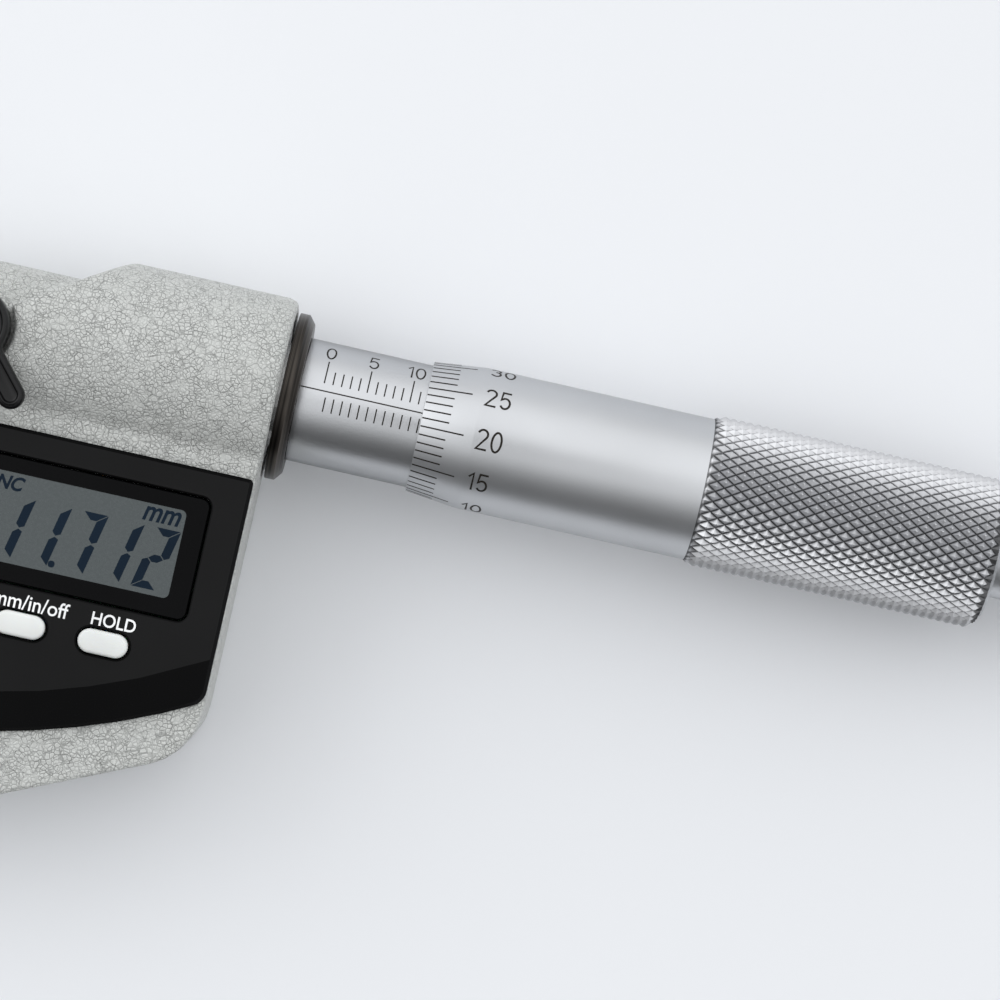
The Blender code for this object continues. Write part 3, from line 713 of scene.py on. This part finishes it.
def make_frame_skin():
    """The casting with its fillets: remeshed in small voxels, and smoothed until its corners are round."""
    shape = copied("frame")
    skin = piece("frame_skin", shape, ENAMEL, "frame", ["frame"])
    remesh = skin.modifiers.new("Remesh", "REMESH")
    remesh.mode = "VOXEL"
    remesh.voxel_size = 0.32 * MM
    remesh.use_smooth_shade = True
    soften = skin.modifiers.new("Soften", "SMOOTH")
    soften.factor = 0.5
    soften.iterations = 9
    bpy.context.view_layer.update()
    evaluated = skin.evaluated_get(bpy.context.evaluated_depsgraph_get())
    mesh = bpy.data.meshes.new_from_object(evaluated)
    skin.modifiers.clear()
    mesh.materials.clear()
    mesh.materials.append(ENAMEL)
    skin.data = mesh


# --- Turned pieces ----------------------------------------------------------------------------------


def make_collar():
    low, high = span("collar_ring")
    radius = high.y
    profile = [
        (high.x, radius - 0.95, 0.05),
        (high.x - 0.75, radius, 0.06),
        (low.x, radius, 0.08),
        (low.x, 6.45, 0.0),
        (high.x, 6.45, 0.0),
    ]
    piece("collar_ring_turned", lathe(eased(profile)), OXIDE, "frame", ["collar_ring"])


def make_measuring_ends():
    """The anvil and the spindle, with their carbide faces, which stay just apart when the gap is closed."""
    for name, body in (("anvil_tip", "frame"), ("spindle_tip", "spindle")):
        low, high = span(name)
        outward = 1 if name == "anvil_tip" else -1
        face, back = (high.x, low.x) if outward > 0 else (low.x, high.x)
        face -= 0.004 * outward
        profile = [(face, 0.0, 0.0), (face, high.y, 0.12), (back, high.y, 0.0), (back, 0.0, 0.0)]
        piece(f"{name}_lapped", lathe(eased(profile, closed=False)), CARBIDE, body, [name])
    low, high = span("anvil")
    profile = [(high.x, 0.0, 0.0), (high.x, high.y, 0.08), (low.x, high.y, 0.2), (low.x, 0.0, 0.0)]
    piece("anvil_ground", lathe(eased(profile, closed=False)), STEEL, "frame", ["anvil"])

    low, high = span("spindle")
    tip_r = span("spindle_tip")[1].y
    thread_x, thread_r, neck_r, tail_x, tail_r = low.x + 81.7, high.y, 3.4, high.x - 7.6, 2.6
    profile = [
        (low.x, 0.0, 0.0),
        (low.x, tip_r, 0.08),
        (thread_x - 0.7, tip_r, 0.1),
        (thread_x - 0.7, 3.0, 0.0),
        (thread_x, 3.0, 0.0),
        (thread_x, thread_r, 0.1),
        (thread_x + 45.0, thread_r, 0.1),
        (thread_x + 45.0, neck_r, 0.0),
        (tail_x, neck_r, 0.0),
        (tail_x, tail_r, 0.0),
        (high.x, tail_r, 0.1),
        (high.x, 1.6, 0.0),
        (high.x - 8.3, 1.6, 0.0),
        (high.x - 8.3, 0.0, 0.0),
    ]
    shape = lathe(eased(profile, closed=False), 96)
    spindle = piece("spindle_ground", shape, STEEL, "spindle", ["spindle"])
    cut_from(spindle, block((low.x + 33.49, -0.6, -4.0), (low.x + 61.99, 0.6, -2.15)))


def make_sleeve():
    """The graduated sleeve, which reaches almost to the collar, with the hole for the pin spanner."""
    low, high = span("scale_sleeve")
    start = low.x - 0.22
    profile = [(high.x, high.y, 0.1), (start, high.y, 0.03), (start, 6.45, 0.0), (high.x, 6.45, 0.0)]
    shape = lathe(eased(profile), 160)
    sleeve = piece("scale_sleeve_turned", shape, SLEEVE_CHROME, "sleeve", ["scale_sleeve"])
    hole = [(-8.0, 0.0), (-8.0, 0.7), (-5.0, 0.7), (-5.0, 0.0)]
    cut_from(sleeve, lathe(hole, 32, "Z", (low.x + 3.77, 0.0, 0.0)))


def screw_profile(top, tip, head_r, head_edge, head_depth, shank_r, tip_edge=0.0):
    """A flat head at top and a shank as far as tip."""
    under = top + math.copysign(head_depth, tip - top)
    return [
        (top, 0.0, 0.0),
        (top, head_r, head_edge),
        (under, head_r, 0.0),
        (under, shank_r, 0.0),
        (tip, shank_r, tip_edge),
        (tip, 0.0, 0.0),
    ]


def make_screws():
    """Every screw head that can be seen, each with its slot, cross or socket."""
    low, high = span("ratchet_post")
    profile = screw_profile(high.x, low.x, 2.9, 0.25, 1.4, 1.3, 0.1)
    shape = lathe(eased(profile, closed=False), 64)
    post = piece("ratchet_post_head", shape, STEEL, "spindle", ["ratchet_post"])
    cut_from(post, block((high.x - 0.7, -4.0, -0.4), (high.x + 1.0, 4.0, 0.4)))

    low, high = span("lever_screw")
    x, y = (low.x + high.x) / 2, (low.y + high.y) / 2
    profile = screw_profile(high.z, low.z, 2.6, 0.3, 0.8, 0.8)
    shape = lathe(eased(profile, closed=False), 64, "Z", (x, y, 0.0))
    screw = piece("lever_screw_head", shape, SCREW_STEEL, "lock", ["lever_screw"])
    cut_from(screw, block((x - 4.0, y - 0.35, high.z - 0.5), (x + 4.0, y + 0.35, high.z + 1.0)))

    for number in (1, 2, 3):
        name = f"bezel_screw_{number}"
        low, high = span(name)
        x, y = (low.x + high.x) / 2, (low.y + high.y) / 2
        profile = screw_profile(low.z, high.z, 1.5, 0.2, 0.8, 0.75)
        shape = lathe(eased(profile, closed=False), 48, "Z", (x, y, 0.0))
        screw = piece(f"{name}_head", shape, SCREW_STEEL, "frame", [name])
        cut_from(screw, block((x - 0.9, y - 0.18, low.z - 1.0), (x + 0.9, y + 0.18, low.z + 0.4)))
        cut_from(screw, block((x - 0.18, y - 0.9, low.z - 1.0), (x + 0.18, y + 0.9, low.z + 0.4)))

    low, high = span("anvil_set_screw")
    x = (low.x + high.x) / 2
    profile = [(low.z, 0.0, 0.0), (low.z, high.y, 0.15), (high.z, high.y, 0.1), (high.z, 0.0, 0.0)]
    shape = lathe(eased(profile, closed=False), 48, "Z", (x, 0.0, 0.0))
    screw = piece("anvil_set_screw_end", shape, SCREW_STEEL, "frame", ["anvil_set_screw"])
    socket = [(low.z - 1.0, 0.0), (low.z - 1.0, 0.5), (low.z + 0.9, 0.5), (low.z + 0.9, 0.0)]
    cut_from(screw, lathe(socket, 6, "Z", (x, 0.0, 0.0)))


def make_battery_cap():
    """The coin-slotted cap in the back, with a shallow dish in its face."""
    low, high = span("battery_cap")
    x, y = (low.x + high.x) / 2, (low.y + high.y) / 2
    profile = [
        (high.z, 0.0, 0.0),
        (high.z, 5.5, 0.1),
        (high.z - 0.95, 5.5, 0.0),
        (high.z - 0.95, 7.3, 0.1),
        (low.z, 7.3, 0.25),
        (low.z, 6.3, 0.1),
        (low.z + 0.2, 6.1, 0.1),
        (low.z + 0.2, 0.0, 0.0),
    ]
    shape = lathe(eased(profile, closed=False), 128, "Z", (x, y, 0.0))
    cap = piece("battery_cap_moulded", shape, LEVER_BLACK, "battery_cap", ["battery_cap"])
    cut_from(cap, block((x - 4.5, y - 0.7, low.z - 1.0), (x + 4.5, y + 0.7, low.z + 0.9)))


def make_thimble():
    """The thimble: a bevelled edge, a plain barrel, and a knurled grip with an end wall."""
    low, high = span("thimble")
    front, end, grip = low.x, high.x, high.y
    body = grip - 0.5
    bore = body - 0.93
    start, stop = front + THIMBLE_KNURL[0], front + THIMBLE_KNURL[1]
    shape = bmesh.new()
    outside = eased(
        [
            (front, bore, 0.0),
            (front, bore + 0.2, 0.05),
            (front + CONE_LENGTH, body, 0.6),
            (start - 0.02, body, 0.0),
        ],
        closed=False,
    )
    rings = [ring(shape, along, radius, COLUMNS) for along, radius in outside]

    def crest_at(along):
        return grip - 0.45 * max(0.0, along - end + 1.3)

    rows = round((stop - start - 0.3) / 0.98)
    first, last = knurl(shape, start + 0.3, stop, crest_at, KNURL_DEPTH, COLUMNS, rows)
    stitch_all(shape, rings)
    # The step up to the knurl takes the grip's finish, so it is darkened by the same painted groove shade.
    stitch(shape, rings[-1], first, 1)
    tail = eased(
        [
            (end - 0.30, grip - 0.95, 0.0),
            (end, grip - 1.3, 0.1),
            (end, 2.9, 0.0),
            (end - 7.96, 2.9, 0.0),
            (end - 7.96, bore, 0.0),
        ],
        closed=False,
    )
    rings_back = [ring(shape, along, radius, COLUMNS) for along, radius in tail]
    stitch_all(shape, [last, *rings_back, rings[0]])
    finishes = [CHROME, THIMBLE_GRIP]
    piece("thimble_knurled", shape, finishes, "spindle", ["thimble"], smooth=24.0)


def make_knob():
    """The ratchet's knob: a neck, a knurled grip, and a recess for the post's head."""
    low, high = span("ratchet_knob")
    start, end, grip = low.x, high.x, high.y
    shape = bmesh.new()
    front = eased(
        [(start, 4.3, 0.0), (start, 4.8, 0.1), (start + 3.0, 4.8, 0.2), (start + 3.75, grip - 0.35, 0.0)],
        closed=False,
    )
    rings = [ring(shape, along, radius, KNOB_COLUMNS) for along, radius in front]
    first, last = knurl(shape, start + 4.0, end - 1.2, lambda along: grip, 0.3, KNOB_COLUMNS, 12)
    back = eased(
        [
            (end - 0.9, grip - 0.4, 0.2),
            (end, grip - 1.1, 0.2),
            (end, 3.2, 0.1),
            (end - 2.04, 3.2, 0.0),
            (end - 2.04, 1.6, 0.0),
            (start + 6.3, 1.6, 0.0),
            (start + 6.3, 4.3, 0.0),
        ],
        closed=False,
    )
    rings_back = [ring(shape, along, radius, KNOB_COLUMNS) for along, radius in back]
    stitch_all(shape, [*rings, first])
    stitch_all(shape, [last, *rings_back, rings[0]])
    finishes, body = [CHROME, KNOB_GRIP], "ratchet_knob"
    piece("ratchet_knob_knurled", shape, finishes, body, ["ratchet_knob"], smooth=24.0)


# --- Scales -----------------------------------------------------------------------------------------


def make_sleeve_scale():
    """A datum line, whole millimetres over it with a number at every fifth, and halves under it."""
    low, high = span("scale_sleeve")
    radius = high.y
    datum = math.radians(DATUM_DEG)
    half = TICK_WIDTH / 2
    flats = [strip(low.x - 0.18, ZERO_X + 25.6, datum - half / radius, datum + half / radius)]
    for number in range(26):
        x = ZERO_X + number
        top = 41.8 if number % 5 == 0 else 31.2
        flats.append(strip(x - half, x + half, math.radians(18.3), math.radians(top)))
        if number < 25:
            flats.append(strip(x + 0.5 - half, x + 0.5 + half, math.radians(-7.8), math.radians(5.4)))
        if number % 5 == 0:
            base = math.radians(45.3) * radius
            label = figure(str(number), x + 0.05, base, SLEEVE_NUMBER_CAP, SLEEVE_STROKE, centred=True)
            flats += rolled_up(label, radius)
    shape = arc_piece(flats, lambda x: radius)
    piece("sleeve_scale", shape, SCALE_INK, "sleeve")


def make_thimble_scale():
    """Fifty divisions round the bevelled edge, with a number at every fifth."""
    low, high = span("thimble")
    front = low.x
    body = high.y - 0.5
    edge = body - 0.73

    def radius_at(x):
        return min(body, edge + (x - front) / CONE_LENGTH * (body - edge))

    flats = []
    for number in range(DIVISIONS):
        angle = math.radians(DATUM_DEG + (number - AT_DATUM) * 360.0 / DIVISIONS)
        length = 5.1 if number % 5 == 0 else 3.2
        half = THIMBLE_TICK / 2 / body
        flats.append(strip(front + 0.06, front + length, angle - half, angle + half))
        if number % 5 == 0:
            base = angle * body - THIMBLE_NUMBER_CAP / 2
            label = figure(str(number), front + 6.6, base, THIMBLE_NUMBER_CAP, THIMBLE_STROKE)
            flats += rolled_up(label, body)
    piece("thimble_scale", arc_piece(flats, radius_at), SCALE_INK, "spindle")


# --- Display ----------------------------------------------------------------------------------------


def make_bezel():
    """The CAD bezel with its upper edges bevelled. Its flat face is matte, and its slopes are glossy."""
    shape = copied("display_bezel")
    bmesh.ops.dissolve_limit(
        shape, angle_limit=math.radians(0.6), verts=shape.verts, edges=shape.edges, delimit=set()
    )
    top = max(v.co.z for v in shape.verts)
    x0, y0, x1, y1 = LCD_VIEW

    def is_opening(edge):
        """Whether an edge belongs to the window's opening or to a button's hole."""
        x, y, _ = (edge.verts[0].co + edge.verts[1].co) / 2
        return (x0 - 4 < x < x1 + 4 and y0 - 4 < y < y1 + 2.6) or (36 < x < 64 and -35 < y < -29.5)

    sharp = [
        edge
        for edge in shape.edges
        if edge.is_manifold
        and edge.calc_face_angle() > math.radians(50)
        and min(v.co.z for v in edge.verts) > top - 0.95
    ]
    openings = [edge for edge in sharp if is_opening(edge)]
    rim = [edge for edge in sharp if not is_opening(edge)]
    for edges, width, segments in ((openings, 0.2, 2), (rim, 0.42, 1)):
        bmesh.ops.bevel(
            shape,
            geom=edges,
            offset=width,
            offset_type="OFFSET",
            segments=segments,
            profile=0.5,
            affect="EDGES",
            clamp_overlap=True,
        )
    for face in shape.faces:
        face.normal_update()
        flat = face.normal.z > 0.9995 and abs(face.calc_center_median().z - top) < 0.01
        face.material_index = 0 if flat else 1
    finishes = [MATTE_BLACK, GLOSS_BLACK]
    piece("display_bezel_eased", shape, finishes, "frame", ["display_bezel"], smooth=8.0)


def make_window():
    """The display window, black all round an opening, and the LCD in that. Returns the LCD's height."""
    low, high = span("display_window")
    outer = [
        (slab_outline(low.x, low.y, high.x, high.y, 1.0), low.z),
        (slab_outline(low.x, low.y, high.x, high.y, 1.0), high.z - 0.1),
        (slab_outline(low.x + 0.1, low.y + 0.1, high.x - 0.1, high.y - 0.1, 0.9), high.z),
    ]
    x0, y0, x1, y1 = LCD_VIEW
    opening = slab_outline(x0, y0, x1, y1, 0.65)
    shape = layered(outer + [(opening, high.z), (opening, high.z - 0.2)])
    piece("window_mask", shape, MASK, "frame", ["display_window"])
    under = slab_outline(x0 - 0.3, y0 - 0.3, x1 + 0.3, y1 + 0.3, 0.65)
    face = layered([(under, high.z - 0.9), (under, high.z - 0.03)])
    for vert in face.verts:
        vert.co.x = min(max(vert.co.x, x0 + 0.001), x1 - 0.001)
        vert.co.y = min(max(vert.co.y, y0 + 0.001), y1 - 0.001)
    piece("lcd_face", face, LCD_GREY, "frame")
    return high.z - 0.03


def segment_outlines(width, height):
    """The seven segments of an upright digit, by letter, as outlines."""
    flat, upright, gap = 0.86, 1.02, 0.07
    middle = height / 2
    w, h = width, height
    lower = [
        (0, gap),
        (upright, flat + gap),
        (upright, middle - flat / 2 - gap),
        (upright / 2, middle - gap),
        (0, middle - gap - 0.25),
    ]
    upper = [(x, h - y) for x, y in reversed(lower)]
    bar = [(gap, h), (w - gap, h), (w - upright - gap, h - flat), (upright + gap, h - flat)]
    return {
        "A": list(reversed(bar)),
        "B": [(w - x, y) for x, y in reversed(upper)],
        "C": [(w - x, y) for x, y in reversed(lower)],
        "D": [(x, h - y) for x, y in bar],
        "E": lower,
        "F": upper,
        "G": [
            (upright / 2 + gap, middle),
            (upright + gap, middle - flat / 2),
            (w - upright - gap, middle - flat / 2),
            (w - upright / 2 - gap, middle),
            (w - upright - gap, middle + flat / 2),
            (upright + gap, middle + flat / 2),
        ],
    }


SEGMENTS = {"1": "BC", "2": "ABGED", "7": "ABC"}


def outline_face(points):
    shape = bmesh.new()
    shape.faces.new([shape.verts.new((x, y, 0.0)) for x, y in points])
    return shape


def make_reading(face_z):
    """The digits 11.712 and the display's two marks."""
    height = DIGIT_TOP - DIGIT_BASE
    outlines = segment_outlines(DIGIT_WIDTH, height)
    text = "11712"
    before_point = 1
    flats = []
    for place, digit in enumerate(text):
        right = LAST_DIGIT_RIGHT - DIGIT_PITCH * (len(text) - 1 - place)
        left = right - DIGIT_WIDTH - height * DIGIT_SLANT
        for letter in SEGMENTS[digit]:
            points = [(left + x + y * DIGIT_SLANT, DIGIT_BASE + y) for x, y in outlines[letter]]
            flats.append(outline_face(points))
        if place == before_point:
            dot = left + DIGIT_WIDTH + 0.14
            flats.append(outline_face(slab_outline(dot, DIGIT_BASE, dot + 0.76, DIGIT_BASE + 0.76, 0.3, 3)))
    flats.append(fitted(text_shape("mm", 0.25, 0.02), 61.4, -17.4, 65.75, -15.75))
    flats.append(fitted(text_shape("INC", 0.25, 0.03), 43.9, -17.45, 47.65, -15.8))
    shape = merged([thickened(flat, face_z - 0.05, face_z + 0.012) for flat in flats])
    piece("lcd_reading", shape, LCD_INK, "frame")


def make_labels():
    """What each button does, printed over it."""
    base = span("display_bezel")[1].z
    baseline, cap = -30.26, 1.5
    flats = [
        fitted(text_shape("HOLD", weight=0.012), 58.35, baseline, 63.45, baseline + cap),
        fitted(text_shape("mm/in/off", weight=0.008), 47.0, baseline - 0.12, 55.7, baseline + cap + 0.12),
        fitted(text_shape("SET", weight=0.012), 39.2, baseline, 42.8, baseline + cap),
    ]
    shape = merged([thickened(flat, base - 0.05, base + 0.01) for flat in flats])
    piece("button_labels", shape, PRINT_WHITE, "frame")


def make_buttons():
    """Three oval caps with rounded rims."""
    for name in ("hold_button", "unit_button", "set_button"):
        low, high = span(name)
        centre_x, centre_y = (low.x + high.x) / 2, (low.y + high.y) / 2
        half_x, half_y = (high.x - low.x) / 2 - 0.575, (high.y - low.y) / 2 - 0.575

        def oval(inset):
            x, y = half_x - inset, half_y - inset
            return slab_outline(centre_x - x, centre_y - y, centre_x + x, centre_y + y, y - 0.002, 9)

        levels = [(oval(0.0), high.z - 2.8)]
        for step in range(6):
            angle = math.radians(90.0 * step / 5)
            levels.append((oval(0.42 * (1 - math.cos(angle))), high.z - 0.47 + 0.42 * math.sin(angle)))
        levels.append((oval(0.8), high.z))
        piece(f"{name}_cap", layered(levels), WHITE, name, [name], smooth=50.0)


# --- Lock lever -------------------------------------------------------------------------------------


def lever_outline(inset):
    """The lever's outline, drawn in by inset: a round hub and a straight arm, with a fillet on each side."""
    length, heading = math.hypot(*LEVER_TIP), math.atan2(LEVER_TIP[1], LEVER_TIP[0])
    side = LEVER_HALF + LEVER_FILLET
    along = math.sqrt((LEVER_HUB_R + LEVER_FILLET) ** 2 - side**2)
    meet = math.atan2(side, along)
    quarter = math.pi / 2
    arcs = [
        ((0.0, 0.0), LEVER_HUB_R - inset, meet, 2 * math.pi - meet, 60),
        ((along, -side), LEVER_FILLET + inset, math.pi - meet, quarter, 8),
        ((length, 0.0), LEVER_HALF - inset, -quarter, quarter, 20),
        ((along, side), LEVER_FILLET + inset, -quarter, meet - math.pi, 8),
    ]
    turn = Matrix.Rotation(heading, 2)
    points = []
    for (u, v), radius, start, end, steps in arcs:
        for i in range(steps):
            angle = start + (end - start) * i / steps
            points.append(tuple(turn @ Vector((u + radius * math.cos(angle), v + radius * math.sin(angle)))))
    return points


def make_lever():
    """The lock lever: a raised rim round a sunk middle, on a hub with a screw in it."""
    low, high = span("lock_lever")
    stem_low, stem_high = span("lock_stem")
    centre = Vector(((stem_low.x + stem_high.x) / 2, (stem_low.y + stem_high.y) / 2, 0.0))
    top, bottom = high.z, high.z - 1.7
    steps = [
        (0.35, bottom),
        (0.0, bottom + 0.3),
        (0.0, top - 0.75),
        (0.12, top - 0.45),
        (0.42, top - 0.08),
        (0.55, top),
        (0.66, top - 0.04),
        (0.85, top - 0.42),
        (1.0, top - 0.5),
    ]
    shape = layered([(lever_outline(inset), z) for inset, z in steps])
    bmesh.ops.translate(shape, vec=centre, verts=shape.verts)
    piece("lock_lever_arm", shape, LEVER_BLACK, "lock", ["lock_lever"])
    hub = eased(
        [
            (low.z, 1.8, 0.0),
            (low.z, LEVER_HUB_R - 0.1, 0.25),
            (bottom + 0.2, LEVER_HUB_R - 0.1, 0.0),
            (bottom + 0.2, 1.8, 0.0),
        ]
    )
    hub_shape = lathe(hub, 96, "Z", centre)
    piece("lock_lever_hub", hub_shape, LEVER_BLACK, "lock")


# --- Studio -----------------------------------------------------------------------------------------


def area_light(name, place, target, side, energy):
    """A square soft light at a place, facing a target."""
    light = bpy.data.lights.new(name, "AREA")
    light.shape = "SQUARE"
    light.size = side
    light.energy = energy
    lamp = bpy.data.objects.new(name, light)
    bpy.context.scene.collection.objects.link(lamp)
    direction = Vector(place) - Vector(target)
    lamp.matrix_world = Matrix.Translation(place) @ direction.to_track_quat("Z", "Y").to_matrix().to_4x4()


def light_the_sky(sky):
    """A white tent, open and dark at the front, with a dark opening above for the camera."""
    way = sky.nodes.new("ShaderNodeTexCoord").outputs["Generated"]
    parts = sky.nodes.new("ShaderNodeSeparateXYZ")
    sky.links.new(way, parts.inputs[0])
    x, y, z = parts.outputs
    tent = sky.spread(y, -0.88, 0.04, 0.12, TENT_PEAK, smooth=True)
    ends = sky.spread(sky.maths("ABSOLUTE", x), 0.35, 0.85, 0.0, 0.34, smooth=True)
    sides = sky.spread(z, 0.0, 0.6, 0.72, 1.0, smooth=True)
    hatch = sky.spread(z, 0.965, 0.995, 1.0, 0.2, smooth=True)
    lit = sky.maths("MULTIPLY", sky.maths("ADD", tent, ends), sides)
    background = sky.nodes["Background"]
    background.inputs["Color"].default_value = (0.975, 0.985, 1.0, 1.0)
    sky.links.new(sky.maths("MULTIPLY", lit, hatch), background.inputs["Strength"])


def make_studio():
    """The sky, one soft light, and a pale floor under the model."""
    scene = bpy.context.scene
    scene.view_settings.view_transform = "Standard"
    world = scene.world or bpy.data.worlds.new("studio")
    scene.world = world
    world.use_nodes = True
    light_the_sky(Graph(world.node_tree))
    area_light("softbox_left", (-0.45, 0.22, 0.42), (0.08, -0.01, 0.0), 0.40, 0.45)

    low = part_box("frame")[0].z
    shape = bmesh.new()
    half = 3.0
    corners = ((-half, -half), (half, -half), (half, half), (-half, half))
    shape.faces.new([shape.verts.new((x, y, low)) for x, y in corners])
    mesh = bpy.data.meshes.new("studio_floor")
    shape.to_mesh(mesh)
    shape.free()
    paper = Finish("studio_paper", (0.81, 0.823, 0.845), 0.7)
    paper.shaded(paper.noise(40.0, 2.0), 0.995, 1.005)
    mesh.materials.append(paper.material)
    floor = bpy.data.objects.new("studio_floor", mesh)
    scene.collection.objects.link(floor)


def make_camera():
    """The camera looks almost straight down, turned so that the spindle falls to the right."""
    lens = bpy.data.cameras.new("camera")
    lens.lens = 139.6
    lens.sensor_width = 36.0
    lens.clip_start = 0.01
    camera = bpy.data.objects.new("camera", lens)
    bpy.context.scene.collection.objects.link(camera)
    place, target = Vector((0.0898, -0.0088, 0.450)), Vector((0.1008, -0.0063, 0.0))
    back = (place - target).normalized()
    right = Vector((-0.2198, 0.9755, 0.0)).cross(back).normalized()
    up = back.cross(right)
    camera.matrix_world = Matrix.Translation(place) @ Matrix((right, up, back)).transposed().to_4x4()
    bpy.context.scene.camera = camera


make_camera()
make_studio()
make_frame_skin()
make_collar()
make_measuring_ends()
make_sleeve()
make_screws()
make_battery_cap()
make_thimble()
make_knob()
make_sleeve_scale()
make_thimble_scale()
make_bezel()
make_reading(make_window())
make_labels()
make_buttons()
make_lever()
